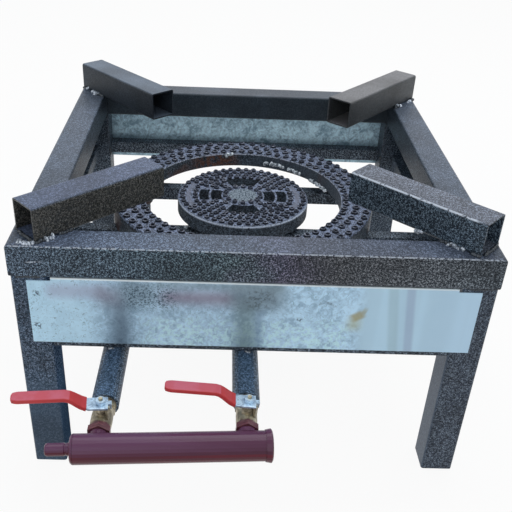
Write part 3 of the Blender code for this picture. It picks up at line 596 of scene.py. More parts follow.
@dataclass(frozen=True)
class CastIron:
    """Cast iron under a flecked sprayed coat: walls painted darker as shade, tops painted lighter as light, rust
    where the coat is thin.

    Attributes:
        name: The finish's name.
        rust_share: How much rust, 0 to 1.
        hub: True for the inner burner, whose hub is smooth and pale.
        top: Colour of what faces up, painted lighter as light from above.
        side: Colour of the walls, painted darker as shade.
        rust: Colour of the rust.
    """

    name: str
    rust_share: float
    hub: bool = False
    top: Colour = (0.088, 0.108, 0.166)
    side: Colour = (0.030, 0.042, 0.056)
    rust: Colour = (0.074, 0.037, 0.028)

    def make(self) -> Material:
        """Build the finish.

        Returns:
            Its material.
        """
        b = Bench(self.name)
        grit = b.noise(430.0, rough=0.6)
        lumps = b.noise(150.0, detail=3.0, rough=0.55, twist=0.5)
        shade = b.blend((grit, 0.7), (lumps, 0.3))
        up = b.spread(b.facing[2], 0.35, 0.85)
        # Painted light and shade: what faces up takes the lighter top colour, the walls the darker side colour.
        top = b.ramp(b.spread(shade, 0.40, 0.60), (0.0, scaled(self.top, 0.28)), (1.0, scaled(self.top, 2.5)),
                     (0.55, self.top))
        side = b.ramp(b.spread(shade, 0.38, 0.64), (0.0, scaled(self.side, 0.5)), (1.0, scaled(self.side, 3.0)),
                      (0.5, self.side))
        # The coat's flecks, shown more strongly on tops as painted light.
        _, fleck_mask = b.flecks(0.008, 0.050, 0.45, 0.56)
        colour = b.over(b.mix(up, side, top), (0.46, 0.56, 0.74), fleck_mask, b.spread(up, 0.0, 1.0, 0.35, 0.85))
        share = b.times(b.spread(b.noise(16.0, detail=3.0, rough=0.6, twist=0.5), 0.52, 0.68), self.rust_share)
        if not self.hub:
            burnt = b.patch((-0.085, 0.060), (-0.020, 0.30), 0.014, (0, 1))
            share = b.math("MAXIMUM", share, b.times(burnt, b.spread(lumps, 0.36, 0.56)))
        rust = b.mix(b.spread(grit, 0.4, 0.6), self.rust, scaled(self.rust, 2.2))
        colour = b.over(colour, rust, share, b.spread(up, 0.0, 1.0, 1.0, 0.12))
        away = b.away((0, BURNER_X), (1, CENTRE_Y))
        if self.hub:
            colour = self._dress_hub(b, colour, away, up, lumps, shade, grit)
        else:
            inner_edge = b.spread(away, 0.1424, 0.1412)
            # Painted highlight along the ring's inner top edge.
            lip = b.times(inner_edge, b.spread(b.axis[2], 0.2590, 0.2608))
            colour = b.over(colour, (0.42, 0.46, 0.56), lip, b.spread(shade, 0.42, 0.52), 0.9)
            slate = b.times(b.spread(b.axis[0], -0.01, 0.03), inner_edge)
            colour = b.over(colour, (0.060, 0.075, 0.100), slate, b.spread(up, 0.0, 0.5, 0.6, 0.0))
        return b.finish(colour, grit, rough=(0.72, 0.50), metallic=0.0, specular=0.25,
                        relief=shade, strength=0.55, depth=0.0012)

    @staticmethod
    def _dress_hub(b: Bench, colour: Tint, away: Socket, up: Socket, lumps: Socket, shade: Amount,
                   grit: Socket) -> Tint:
        """Lay the inner burner's painted highlights, along the front of its rim and in a band between stud rows,
        and its smooth hub over it.

        Args:
            b: The finish's bench.
            colour: The colour so far.
            away: How far the place is from the burner's axis.
            up: Mask of what faces up.
            lumps: Coarse noise.
            shade: Mixed noise.
            grit: Fine noise.

        Returns:
            The dressed colour.
        """
        # Painted highlight along the front of the top's outer edge.
        rim = b.times(b.spread(away, 0.0915, 0.0928), b.spread(b.axis[2], 0.2530, 0.2550))
        front = b.spread(b.axis[1], CENTRE_Y + 0.01, CENTRE_Y - 0.05)
        colour = b.over(colour, (0.50, 0.57, 0.70), rim, front, b.spread(shade, 0.36, 0.46))
        # Painted highlight in a band between the stud rows, at the left and right.
        band = b.times(b.spread(b.off(away, 0.0785), 0.0022, 0.0040, 1.0, 0.0), up)
        sides = b.spread(b.off(b.axis[0], BURNER_X), 0.060, 0.072)
        colour = b.over(colour, (0.15, 0.165, 0.22), band, sides, 0.75)
        ragged = b.math("ADD", away, b.times(lumps, 0.006))
        smooth = b.ramp(b.spread(grit, 0.38, 0.60), (0.0, srgb(56, 70, 84)), (1.0, srgb(140, 152, 164)),
                        (0.45, srgb(96, 112, 126)))
        return b.over(colour, smooth, b.spread(ragged, 0.0225, 0.0250, 1.0, 0.0), up)


@dataclass(frozen=True)
class PortStud:
    """Cast iron of the port studs: dark navy, with a painted highlight on the rim round the port, and painted
    shade, black, at the foot and in the port.

    Attributes:
        name: The finish's name.
        level: Height of the casting's top under the studs.
        height: Height of a stud.
    """

    name: str
    level: float
    height: float

    def make(self) -> Material:
        """Build the finish, painted black as shade at the foot and in the port, and paler on the rim as a
        painted highlight.

        Returns:
            Its material.
        """
        b = Bench(self.name)
        grit = b.noise(600.0, rough=0.6)
        up = b.spread(b.facing[2], 0.35, 0.80)
        tip = b.spread(b.axis[2], self.level + 0.55 * self.height, self.level + 0.90 * self.height)
        body = b.mix(b.spread(grit, 0.36, 0.64), (0.0060, 0.0085, 0.0180), (0.040, 0.052, 0.090))
        # Painted highlight on the up-facing rim of each stud's crown.
        painted_highlight = b.mix(b.spread(grit, 0.40, 0.60), (0.070, 0.080, 0.115), (0.34, 0.36, 0.44))
        colour = b.over(body, painted_highlight, tip, up, b.spread(b.noise(110.0), 0.44, 0.62))
        _, fleck_mask = b.flecks(0.008, 0.050, 0.45, 0.56)
        colour = b.over(colour, (0.42, 0.52, 0.70), fleck_mask, tip, 0.60)
        # Painted shade: black at the stud's foot and down in the port.
        foot = b.spread(b.axis[2], self.level + 0.0010, self.level + 0.0018, 1.0, 0.0)
        return b.finish(b.mix(foot, colour, (0.004, 0.005, 0.009)), grit, rough=(0.60, 0.38), metallic=0.0,
                        specular=0.35, relief=grit, strength=0.4, depth=0.0008)


@dataclass(frozen=True)
class MaroonGloss:
    """Gloss enamel in maroon, brushed on, with runs."""

    name: str = "maroon_enamel"
    body: Colour = (0.070, 0.0105, 0.0260)
    thin: Colour = (0.105, 0.0100, 0.0230)
    top_highlight: Colour = (0.130, 0.051, 0.112)
    reflection_red: Colour = (0.135, 0.010, 0.026)

    def make(self) -> Material:
        """Build the finish, with a painted lilac highlight on what faces up and a painted reflection, a red
        stripe, below it.

        Returns:
            Its material.
        """
        b = Bench(self.name)
        runs = b.noise(14.0, detail=3.0, rough=0.6, twist=0.4, stretch=(0.35, 2.5, 2.5))
        relief = b.blend((runs, 1.0), (b.noise(160.0), 0.15))
        film = b.mix(b.spread(runs, 0.36, 0.66), self.body, self.thin)
        # Painted highlight: lilac on what faces up.
        film = b.over(film, self.top_highlight, b.spread(b.facing[2], 0.02, 0.74),
                      b.spread(runs, 0.30, 0.60, 0.55, 1.0))
        # Painted reflection: a brighter red band on the sides, towards the right.
        reflection_stripe = b.spread(b.off(b.facing[2], 0.14), 0.03, 0.20, 0.90, 0.0)
        film = b.over(film, self.reflection_red, reflection_stripe, b.spread(b.axis[0], -0.13, -0.04))
        return b.finish(film, runs, rough=(0.20, 0.32), metallic=0.0, specular=0.25,
                        relief=relief, strength=0.18, depth=0.0012)


@dataclass(frozen=True)
class ValveBrass:
    """Turned brass gone dull, with overspray at the manifold's end.

    Attributes:
        name: The finish's name.
        spray_y: Where the maroon overspray fades out along the valve, or None for none.
        spray_fade: How far either side of there it fades.
    """

    name: str
    spray_y: float | None = None
    spray_fade: float = 0.0022

    def make(self) -> Material:
        """Build the finish.

        Returns:
            Its material.
        """
        b = Bench(self.name)
        turned = b.noise(420.0, stretch=(0.25, 2.4, 0.25))
        tarnish = b.noise(70.0, detail=4.0, rough=0.6, twist=0.5)
        colour = b.ramp(b.spread(tarnish, 0.34, 0.68), (0.0, srgb(120, 112, 96)), (1.0, srgb(228, 218, 192)),
                        (0.5, srgb(176, 166, 140)))
        if self.spray_y is not None:
            edge = b.stirred(b.axis[1], tarnish, 0.010)
            overspray = b.mix(b.spread(turned, 0.35, 0.65), srgb(88, 40, 56), srgb(128, 70, 84))
            spray = b.spread(edge, self.spray_y + self.spray_fade, self.spray_y - self.spray_fade)
            colour = b.over(colour, overspray, spray, 0.93)
        return b.finish(colour, tarnish, rough=(0.46, 0.30), metallic=0.40, specular=0.5,
                        relief=turned, strength=0.10, depth=0.0003)


@dataclass(frozen=True)
class ZincPlate:
    """Bright zinc plate with a cool cast."""

    name: str = "zinc_bright"
    light: Colour = (0.66, 0.84, 1.0)
    dull: Colour = (0.28, 0.38, 0.50)

    def make(self) -> Material:
        """Build the finish.

        Returns:
            Its material.
        """
        b = Bench(self.name)
        cloud = b.noise(120.0, detail=3.0, rough=0.6, twist=0.4)
        brushed = b.noise(300.0, stretch=(0.3, 3.0, 1.0))
        colour = b.mix(b.spread(cloud, 0.34, 0.62), self.dull, self.light)
        return b.finish(colour, cloud, rough=(0.42, 0.26), metallic=0.6, specular=0.5,
                        relief=brushed, strength=0.08, depth=0.0003)


@dataclass(frozen=True)
class RedVinyl:
    """Dip-moulded vinyl: rose where light grazes the grip, a warmer red on the crank."""

    name: str = "vinyl_red"
    body: Colour = (0.58, 0.046, 0.050)
    painted_highlight: Colour = (0.64, 0.140, 0.205)

    def make(self) -> Material:
        """Build the finish.

        Returns:
            Its material.
        """
        b = Bench(self.name)
        cloud = b.noise(45.0, detail=3.0, rough=0.55)
        # Painted highlight: rose on what faces up, where light grazes the grip.
        colour = b.over(self.body, self.painted_highlight, b.spread(b.facing[2], 0.86, 0.97),
                        b.spread(cloud, 0.34, 0.60, 0.55, 1.0))
        relief = b.blend((cloud, 1.0), (b.noise(600.0), 0.2))
        return b.finish(colour, cloud, rough=(0.46, 0.34), metallic=0.0, specular=0.35,
                        relief=relief, strength=0.10, depth=0.0005)


@dataclass(frozen=True)
class SmoothFinish:
    """A smooth finish with only a faint cloud in it.

    Attributes:
        name: The finish's name.
        scale: Clouds a metre.
        low: Its darker colour.
        high: Its paler colour.
        rough: Its roughness, from the darker places to the paler ones.
        metallic: How metallic it is.
        specular: The shader's specular level.
        relief: How strong its bumps are.
    """

    name: str
    scale: float
    low: Colour
    high: Colour
    rough: tuple[float, float]
    metallic: float
    specular: float
    relief: float

    def make(self) -> Material:
        """Build the finish.

        Returns:
            Its material.
        """
        b = Bench(self.name)
        cloud = b.noise(self.scale)
        colour = b.mix(b.spread(cloud, GRAIN_LOW, GRAIN_HIGH), self.low, self.high)
        return b.finish(colour, cloud, rough=self.rough, metallic=self.metallic, specular=self.specular,
                        relief=cloud, strength=self.relief, depth=0.0002)


# What shows of the open valves' insides.
SEAT_PLASTIC = SmoothFinish("seat_plastic", scale=200.0, low=(0.74, 0.74, 0.72), high=(0.84, 0.84, 0.82),
                            rough=(0.5, 0.42), metallic=0.0, specular=0.4, relief=0.05)
BALL_CHROME = SmoothFinish("chrome_ball", scale=150.0, low=(0.70, 0.71, 0.73), high=(0.82, 0.83, 0.85),
                           rough=(0.16, 0.10), metallic=1.0, specular=0.5, relief=0.03)


@dataclass(frozen=True)
class WeldSkin:
    """Weld metal under a thin coat: pale, lumpy and bright on its crests.

    Attributes:
        name: The finish's name.
        pale: Colour of the crests.
        dark: Colour of the hollows.
    """

    name: str
    pale: Colour
    dark: Colour

    def make(self) -> Material:
        """Build the finish.

        Returns:
            Its material.
        """
        b = Bench(self.name)
        lumps = b.noise(260.0, detail=3.0, rough=0.6, twist=0.6)
        colour = b.ramp(b.spread(lumps, 0.40, 0.62), (0.0, self.dark), (1.0, self.pale))
        return b.finish(colour, lumps, rough=(0.5, 0.25), metallic=0.2, specular=0.6,
                        relief=lumps, strength=0.5, depth=0.0012)


# --- node trees that repeat a shape ------------------------------------------------------------------------
class RepeatTree:
    """A geometry tree with named inputs, run on a mesh and turned into plain faces."""

    def __init__(self, name: str, material: Material) -> None:
        """Start a tree that takes and gives geometry.

        Args:
            name: The tree's name.
            material: The finish of what it makes.
        """
        self.tree = bpy.data.node_groups.new(name, "GeometryNodeTree")
        for way in ("INPUT", "OUTPUT"):
            self.tree.interface.new_socket("Geometry", in_out=way, socket_type="NodeSocketGeometry")
        self.head = self.tree.nodes.new("NodeGroupInput")
        self.material = material
        self.keys: dict[str, str] = {}

    def number(self, name: str, kind: str = "Float") -> Socket:
        """Add a named input.

        Args:
            name: Its name.
            kind: Its kind, Float or Int.

        Returns:
            Its socket inside the tree.
        """
        made = self.tree.interface.new_socket(name, in_out="INPUT", socket_type="NodeSocket" + kind)
        self.keys[name] = made.identifier
        return next(s for s in self.head.outputs if s.identifier == made.identifier)

    def node(self, kind: str, inputs: Inputs | None = None, **settings: object) -> Socket:
        """Add a node with its inputs and options, and return its first output."""
        return add_node(self.tree, kind, inputs, **settings).outputs[0]

    def sum(self, kind: str, a: Amount, b: Amount) -> Socket:
        """One sum of two numbers."""
        return self.node("ShaderNodeMath", {0: a, 1: b}, operation=kind)

    def parts(self, whole: Socket, *shares: float) -> list[Socket]:
        """A number times each of the shares."""
        return [self.sum("MULTIPLY", whole, share) for share in shares]

    def triple(self, x: Amount, y: Amount, z: Amount) -> Socket:
        """A vector from three numbers."""
        return self.node("ShaderNodeCombineXYZ", {0: x, 1: y, 2: z})

    def random(self, low: object, high: object, seed: Amount) -> Socket:
        """A random vector between two corners."""
        ends = {"Min": low, "Max": high, "Seed": seed}
        return self.node("FunctionNodeRandomValue", ends, data_type="FLOAT_VECTOR")

    def jogged(self, points: Socket, reach: Socket, seed: Socket) -> Socket:
        """Move each point at random.

        Args:
            points: The points.
            reach: How far along each axis, either way.
            seed: The seed.

        Returns:
            The moved points.
        """
        back = self.node("ShaderNodeVectorMath", {0: reach, "Scale": -1.0}, operation="SCALE")
        offset = self.random(back, reach, seed)
        return self.node("GeometryNodeSetPosition", {"Geometry": points, "Offset": offset})

    def end(self, points: Socket, piece: Socket, turn: Socket, scale: Socket) -> None:
        """End the tree: the piece on each point, as real faces in the tree's finish.

        Args:
            points: The points.
            piece: What stands on each.
            turn: How each is turned.
            scale: How each is scaled.
        """
        laid = self.node("GeometryNodeInstanceOnPoints", {
            "Points": points, "Instance": piece, "Rotation": turn, "Scale": scale})
        real = self.node("GeometryNodeRealizeInstances", {"Geometry": laid})
        dressed = self.node("GeometryNodeSetMaterial", {"Geometry": real, "Material": self.material})
        add_node(self.tree, "NodeGroupOutput", {0: dressed})

    def lay(self, name: str, runs: list[list[Vector]], slot: Slot, **sizes: float) -> bpy.types.Object:
        """Run the tree along runs of points and keep the result as a plain piece that rides on the stand.

        Args:
            name: The new piece's name.
            runs: The runs of points, with an edge from each point to the next.
            slot: The record's slot for it; not used.
            **sizes: The tree's inputs.

        Returns:
            The piece, at the origin, with its place in its mesh.
        """
        verts, edges = [], []
        for run in runs:
            edges += [(len(verts) + i, len(verts) + i + 1) for i in range(len(run) - 1)]
            verts += [tuple(point) for point in run]
        seedbed = bpy.data.meshes.new(name + "_seed")
        seedbed.from_pydata(verts, edges, [])
        holder = bpy.data.objects.new(name + "_seed", seedbed)
        bpy.context.scene.collection.objects.link(holder)
        modifier = holder.modifiers.new("repeat", "NODES")
        modifier.node_group = self.tree
        for key, value in sizes.items():
            modifier[self.keys[key]] = value
        bpy.context.view_layer.update()
        mesh = bpy.data.meshes.new_from_object(holder.evaluated_get(bpy.context.evaluated_depsgraph_get()))
        holder.modifiers.remove(modifier)
        bpy.data.objects.remove(holder)
        bm = bmesh.new()
        bm.from_mesh(mesh)
        bmesh.ops.remove_doubles(bm, verts=bm.verts, dist=1e-7)
        bmesh.ops.recalc_face_normals(bm, faces=bm.faces)
        bm.to_mesh(mesh)
        bm.free()
        mesh.name = name
        mesh.materials.clear()
        mesh.materials.append(self.material)
        mesh.shade_smooth()
        mesh.set_sharp_from_angle(angle=math.radians(42))
        piece = bpy.data.objects.new(name, mesh)
        bpy.context.scene.collection.objects.link(piece)
        return settle(piece, Body.STAND)


def settle(piece: bpy.types.Object, body: Body) -> bpy.types.Object:
    """Let a piece ride on its body, and report it.

    Args:
        piece: The piece.
        body: The body that it moves with.

    Returns:
        The piece.
    """
    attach(piece, body.value)
    log.info("%s rides on %s with %d faces", piece.name, body.value, len(piece.data.polygons))
    return piece


def stud_tree(name: str, finish: Finish, sides: int = 9) -> RepeatTree:
    """The tree that stands a port stud on each point: a drafted boss with a rounded crown and a drilled port.

    Args:
        name: The tree's name.
        finish: The studs' finish.
        sides: How many sides a stud has.

    Returns:
        The tree, with inputs radius, height, port, wobble and seed.
    """
    t = RepeatTree(name, finish.make())
    radius, height, port, wobble = (t.number(n) for n in ("radius", "height", "port", "wobble"))
    seed = t.number("seed", "Int")

    def band(low_r: Amount, high_r: Amount, low_z: Amount, high_z: Amount, flip: bool = False) -> Socket:
        """One conical band between two heights.

        Args:
            low_r: Its radius at the bottom.
            high_r: Its radius at the top.
            low_z: Height of its bottom.
            high_z: Height of its top.
            flip: True if it faces inwards.

        Returns:
            The band.
        """
        cone = t.node("GeometryNodeMeshCone", {"Vertices": sides, "Radius Top": high_r, "Radius Bottom": low_r,
                                               "Depth": t.sum("SUBTRACT", high_z, low_z)}, fill_type="NONE")
        moved = t.node("GeometryNodeTransform", {"Geometry": cone, "Translation": t.triple(0.0, 0.0, low_z)})
        return t.node("GeometryNodeFlipFaces", {0: moved}) if flip else moved

    def disc(size: Amount, level: Amount) -> Socket:
        """One closing face."""
        circle = t.node("GeometryNodeMeshCircle", {"Vertices": sides, "Radius": size}, fill_type="NGON")
        return t.node("GeometryNodeTransform", {"Geometry": circle, "Translation": t.triple(0.0, 0.0, level)})

    shoulder, lip, waist = t.parts(radius, 0.86, 0.66, 0.95)
    deep, crown, rim, sink = t.parts(height, 0.18, 0.80, 0.97, -0.2)
    narrow, = t.parts(port, 0.8)
    joined = add_node(t.tree, "GeometryNodeJoinGeometry")
    for piece in (band(radius, waist, sink, 0.0), band(waist, shoulder, 0.0, crown),
                  band(shoulder, lip, crown, height), band(port, lip, rim, height, True),
                  band(narrow, port, deep, rim, True), disc(narrow, deep), disc(radius, sink)):
        feed(joined.inputs[0], piece)
    stud = t.node("GeometryNodeMergeByDistance", {"Geometry": joined.outputs[0], "Distance": 1e-6})
    moved = t.jogged(t.head.outputs[0], t.triple(wobble, wobble, 0.0), seed)
    scale = t.random((0.93, 0.93, 0.86), (1.07, 1.07, 1.10), t.sum("ADD", seed, 7))
    turn = t.random((-0.06, -0.06, 0.0), (0.06, 0.06, 6.28), t.sum("ADD", seed, 13))
    t.end(moved, stud, turn, scale)
    return t


def bead_tree(name: str, pale: Colour, dark: Colour) -> RepeatTree:
    """The tree that lays a weld bead along each run of edges, as overlapping solid ripples.

    Args:
        name: The bead finish's name.
        pale: Colour of its crests.
        dark: Colour of its hollows.

    Returns:
        The tree, with inputs width, pitch, wobble and seed.
    """
    t = RepeatTree("weld_beads", WeldSkin(name, pale, dark).make())
    width, pitch, wobble = (t.number(n) for n in ("width", "pitch", "wobble"))
    seed = t.number("seed", "Int")
    line = t.node("GeometryNodeMeshToCurve", {"Mesh": t.head.outputs[0]})
    steps = add_node(t.tree, "GeometryNodeCurveToPoints", {"Curve": line, "Length": pitch}, mode="LENGTH")
    moved = t.jogged(steps.outputs["Points"], t.triple(wobble, wobble, wobble), seed)
    ripple = t.node("GeometryNodeMeshIcoSphere", {"Radius": 1.0, "Subdivisions": 2})
    across, = t.parts(width, 0.5)
    varied = t.random((0.75, 0.75, 0.8), (1.2, 1.2, 1.3), t.sum("ADD", seed, 5))
    size = t.triple(across, across, pitch)
    scale = t.node("ShaderNodeVectorMath", {0: size, 1: varied}, operation="MULTIPLY")
    t.end(moved, ripple, steps.outputs["Rotation"], scale)
    return t


# --- sub-assemblies ----------------------------------------------------------------------------------------
class Assembly:
    """A sub-assembly of the stand: its finishes, and the pieces that it adds to the CAD model."""

    def finishes(self) -> Coats:
        """The table of finishes."""
        return []

    def dress(self, nodes: dict[str, bpy.types.Object]) -> None:
        """Put every finish on its nodes.

        Args:
            nodes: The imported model's nodes.
        """
        for finish, names in self.finishes():
            material = finish.make()
            for name in names:
                mesh = nodes[name].data
                mesh.materials.clear()
                mesh.materials.append(material)
                log.info("%s in %s", name, material.name)

    def build(self) -> None:
        """Add its pieces."""


@dataclass(frozen=True)
class ArmSeat:
    """Where one pot arm lies: its outer end's centre, its heading in degrees and its length."""

    x: float
    y: float
    heading: float
    length: float

    def corner(self, along: float, side: float, height: float) -> Point:
        """A point on the arm.

        Args:
            along: Metres from the outer end.
            side: Metres left of the heading.
            height: Height above the floor.

        Returns:
            The point, from the middle of the frame.
        """
        c, s = math.cos(math.radians(self.heading)), math.sin(math.radians(self.heading))
        return self.x + along * c - side * s, self.y + along * s + side * c, height

    def run(self, side: float, start: float, end: float, height: float) -> list[Vector]:
        """A straight run along the arm, in the model's frame."""
        return [lift(self.corner(start, side, height)), lift(self.corner(end, side, height))]


@dataclass
class BoxTubeFrame(Assembly):
    """The welded frame: top rails, legs, pot arms, lower rails, burner bars, and their welds.

    Attributes:
        tube: Width of the box tube.
        half: Half the frame's width.
        rail_top_z: Top of the lower rails.
        weld_z: Height of the beads along the arms.
        seam_side: How far a bead lies from its arm's middle.
        seam: Length of the bead where an arm crosses the rail's inner edge.
        arms: Where the pot arms lie.
        spatter: Bright spatter along the arms' lower edges: arm, offset to the side, start and end along it.
    """

    tube: float = 0.040
    half: float = FRAME_W / 2
    rail_top_z: float = 0.228
    weld_z: float = TOP_Z + 0.0006
    seam_side: float = 0.0206
    seam: float = 0.014
    arms: dict[str, ArmSeat] = field(default_factory=lambda: {
        "front_left": ArmSeat(-0.2564, -0.2534, 42.8, 0.179),
        "front_right": ArmSeat(0.2589, -0.2561, 136.0, 0.181),
        "back_right": ArmSeat(0.2615, 0.2599, 229.0, 0.194),
        "back_left": ArmSeat(-0.2587, 0.2615, 312.2, 0.187)})
    spatter: tuple[tuple[str, float, float, float], ...] = (
        ("front_left", -0.0220, 0.010, 0.022), ("front_right", 0.0222, 0.020, 0.038),
        ("front_right", 0.0205, 0.076, 0.081), ("back_left", -0.0215, 0.008, 0.014),
        ("back_left", -0.0220, 0.030, 0.044), ("back_right", 0.0215, 0.016, 0.022),
        ("back_right", 0.0212, 0.046, 0.052))

    def finishes(self) -> Coats:
        """The enamels, with their tubes: copies of one enamel that differ from tube to tube, partly as painted
        light, with lighter tones on the back and right tubes.

        Returns:
            The finishes, each with the nodes that wear it.
        """
        arm, arm_top = self.arms["front_right"], TOP_Z + 0.0398
        # Bright lines: along the front arm's and the front rail's top edges, painted highlight with some wear;
        # the short one on the rail's front is a scratch.
        arm_wear_and_highlight = (arm.corner(arm.length, 0.0192, arm_top), arm.corner(0.012, 0.0192, arm_top), 0.0020, 0.9)
        rail_wear_and_highlight = (((-0.272, -0.2747, TOP_Z - 0.0004), (0.272, -0.2747, TOP_Z - 0.0004), 0.0016, 0.55),
                     ((-0.2523, -0.275, 0.3035), (-0.2385, -0.275, 0.3045), 0.0010, 0.8))
        hues = ((-0.27, BLUE), (0.27, SAND), (-0.065, TEAL), (-0.03, GREEN), (0.01, PURPLE), (0.09, BROWN))
        return [
            (HammerEnamel("enamel_front_rail", hues=hues, wear_and_highlight_lines=rail_wear_and_highlight,
                          top_painted_light=(srgb(82, 92, 112), 0.74)), ["top_rail_front"]),
            (HammerEnamel("enamel_side_rails", contrast=0.5, top_painted_light=(srgb(87, 98, 115), 0.80)),
             ["top_rail_left", "top_rail_right"]),
            (HammerEnamel("enamel_back_rail", dark=(0.028, 0.040, 0.053), middle=(0.040, 0.055, 0.071),
                          contrast=0.10, top_painted_light=(srgb(99, 108, 121), 0.85)), ["top_rail_back"]),
            (HammerEnamel("enamel_back_arm_left", dark=(0.020, 0.027, 0.037), middle=(0.027, 0.036, 0.048),
                          contrast=0.06, top_painted_light=(srgb(112, 126, 144), 0.90)), ["pot_arm_back_left"]),
            (HammerEnamel("enamel_back_arm_right", dark=(0.052, 0.056, 0.059), middle=(0.072, 0.076, 0.080),
                          contrast=0.14, top_painted_light=(srgb(126, 126, 130), 0.90)), ["pot_arm_back_right"]),
            (HammerEnamel("enamel_arm_right", wear_and_highlight_lines=(arm_wear_and_highlight,), front_painted_light=((0.90, 1.06, 1.12), 0.9),
                          top_painted_light=(srgb(98, 104, 118), 0.75)), ["pot_arm_front_right"]),
            (HammerEnamel("enamel_arm_left", dark=(0.011, 0.014, 0.016), contrast=0.42,
                          front_painted_light=((1.55, 1.12, 0.72), 0.9), top_painted_light=(srgb(92, 104, 132), 0.70)),
             ["pot_arm_front_left"]),
            (HammerEnamel("enamel_legs", middle=(0.034, 0.050, 0.074), contrast=0.75),
             ["leg_back_left", "leg_back_right"]),
            (HammerEnamel("enamel_leg_front_right", dark=(0.010, 0.015, 0.024), middle=(0.034, 0.046, 0.072),
                          contrast=0.70, left_painted_light=(srgb(84, 99, 118), 0.70)), ["leg_front_right"]),
            (HammerEnamel("enamel_leg_front_left", dark=(0.009, 0.017, 0.030), middle=(0.040, 0.070, 0.112),
                          fleck=(0.36, 0.47, 0.66), contrast=0.78, calm_below=0.13,
                          right_painted_light=((1.10, 1.20, 1.30), 1.0)), ["leg_front_left"]),
            (HammerEnamel("enamel_lower"), [f"lower_rail_{s}" for s in ("front", "back", "left", "right")] + [
                "burner_bar_front", "burner_bar_rear"])]

    def arm_seams(self) -> list[list[Vector]]:
        """The runs of the beads round each arm.

        Returns:
            For each arm, two runs at the rails' inner edges, two at its outer end and one across that end.
        """
        seams, step, inner = [], 0.002, self.half - self.tube
        for arm in self.arms.values():
            for side in (-self.seam_side, self.seam_side):
                last = 0.0
                while last < arm.length and max(map(abs, arm.corner(last, side, 0.0))) > inner + step:
                    last += step
                seams += [arm.run(side, last - step, last - step - self.seam, self.weld_z),
                          arm.run(side, 0.010, 0.0015, self.weld_z)]
            across = (arm.corner(-0.0008, 0.004 * count - 0.016, self.weld_z) for count in range(8))
            seams.append([lift(p) for p in across if max(abs(p[0]), abs(p[1])) < self.half - 0.003])
        return seams

    def corner_seams(self) -> list[list[Vector]]:
        """The runs of the small seams at each leg.

        Returns:
            For each leg, one run under the top rail's end and one where two lower rails meet.
        """
        under, meeting = TOP_Z - self.tube, self.rail_top_z
        corners = [(sx, sy) for sx in (-1, 1) for sy in (-1, 1)]
        return [[lift((sx * x + dx, sy * y, z)) for dx, z in ends] for sx, sy in corners for x, y, ends in (
            (0.2535, self.half - 0.0018, ((-0.012, under), (0.012, under))),
            (0.2333, 0.2345, ((0.0, meeting - 0.004), (0.0, meeting - 0.015))))]

    def build(self) -> None:
        """Lay the beads and tacks that hold the frame together."""
        bright = bead_tree("weld_spatter", (0.80, 0.88, 1.0), (0.10, 0.13, 0.17))
        coated = bead_tree("weld_skin_painted", (0.045, 0.060, 0.080), (0.012, 0.018, 0.026))
        spots = [self.arms[arm].run(side, start, end, self.weld_z) for arm, side, start, end in self.spatter]
        spots.append([lift((-0.262, -0.267, self.weld_z)), lift((-0.245, -0.2725, self.weld_z))])
        bright.lay("arm_spatter", spots, Slot.PAINT, width=0.0062, pitch=0.0023, wobble=0.0019, seed=5)
        seams, corners = self.arm_seams(), self.corner_seams()
        coated.lay("arm_welds", seams, Slot.PAINT, width=0.0056, pitch=0.0021, wobble=0.0008, seed=11)
        coated.lay("frame_welds", corners, Slot.PAINT, width=0.0036, pitch=0.0017, wobble=0.0004, seed=23)


class WindSheets(Assembly):
    """The four galvanised sheets."""

    def finishes(self) -> Coats:
        """The sheets' finishes; the front one has its own stains and painted reflections, and the side ones are
        darker as painted shade.

        Returns:
            The finishes, each with the nodes that wear it.
        """
        return [
            (GalvanisedSheet("galvanised_front", mottle=0.75, front_marks=True), ["wind_sheet_front"]),
            (GalvanisedSheet("galvanised_back", light=(0.64, 0.88, 1.0), dull=(0.22, 0.35, 0.45), mottle=1.0),
             ["wind_sheet_back"]),
            # The side sheets are seen from inside, in shade: their darker colours are painted shade.
            (GalvanisedSheet("galvanised_sides", light=(0.33, 0.43, 0.52), dull=(0.16, 0.22, 0.27), mottle=0.8),
             ["wind_sheet_left", "wind_sheet_right"])]


@dataclass(frozen=True)
class RingOfStuds:
    """One row of port studs.

    Attributes:
        radius: Its radius.
        count: How many studs stand on it.
        start: Where the first one is, in degrees.
        bare: Studs nearer than this to the burner's middle line, from left to right, are left out.
    """

    radius: float
    count: int
    start: float = 0.0
    bare: float = 0.0

    def points(self) -> list[Spot]:
        """Where its studs stand, from the burner's centre.

        Returns:
            Their places.
        """
        turns = (math.radians(self.start + 360 * i / self.count) for i in range(self.count))
        spots = ((self.radius * math.cos(a), self.radius * math.sin(a)) for a in turns)
        return [(x, y) for x, y in spots if abs(y) >= self.bare]


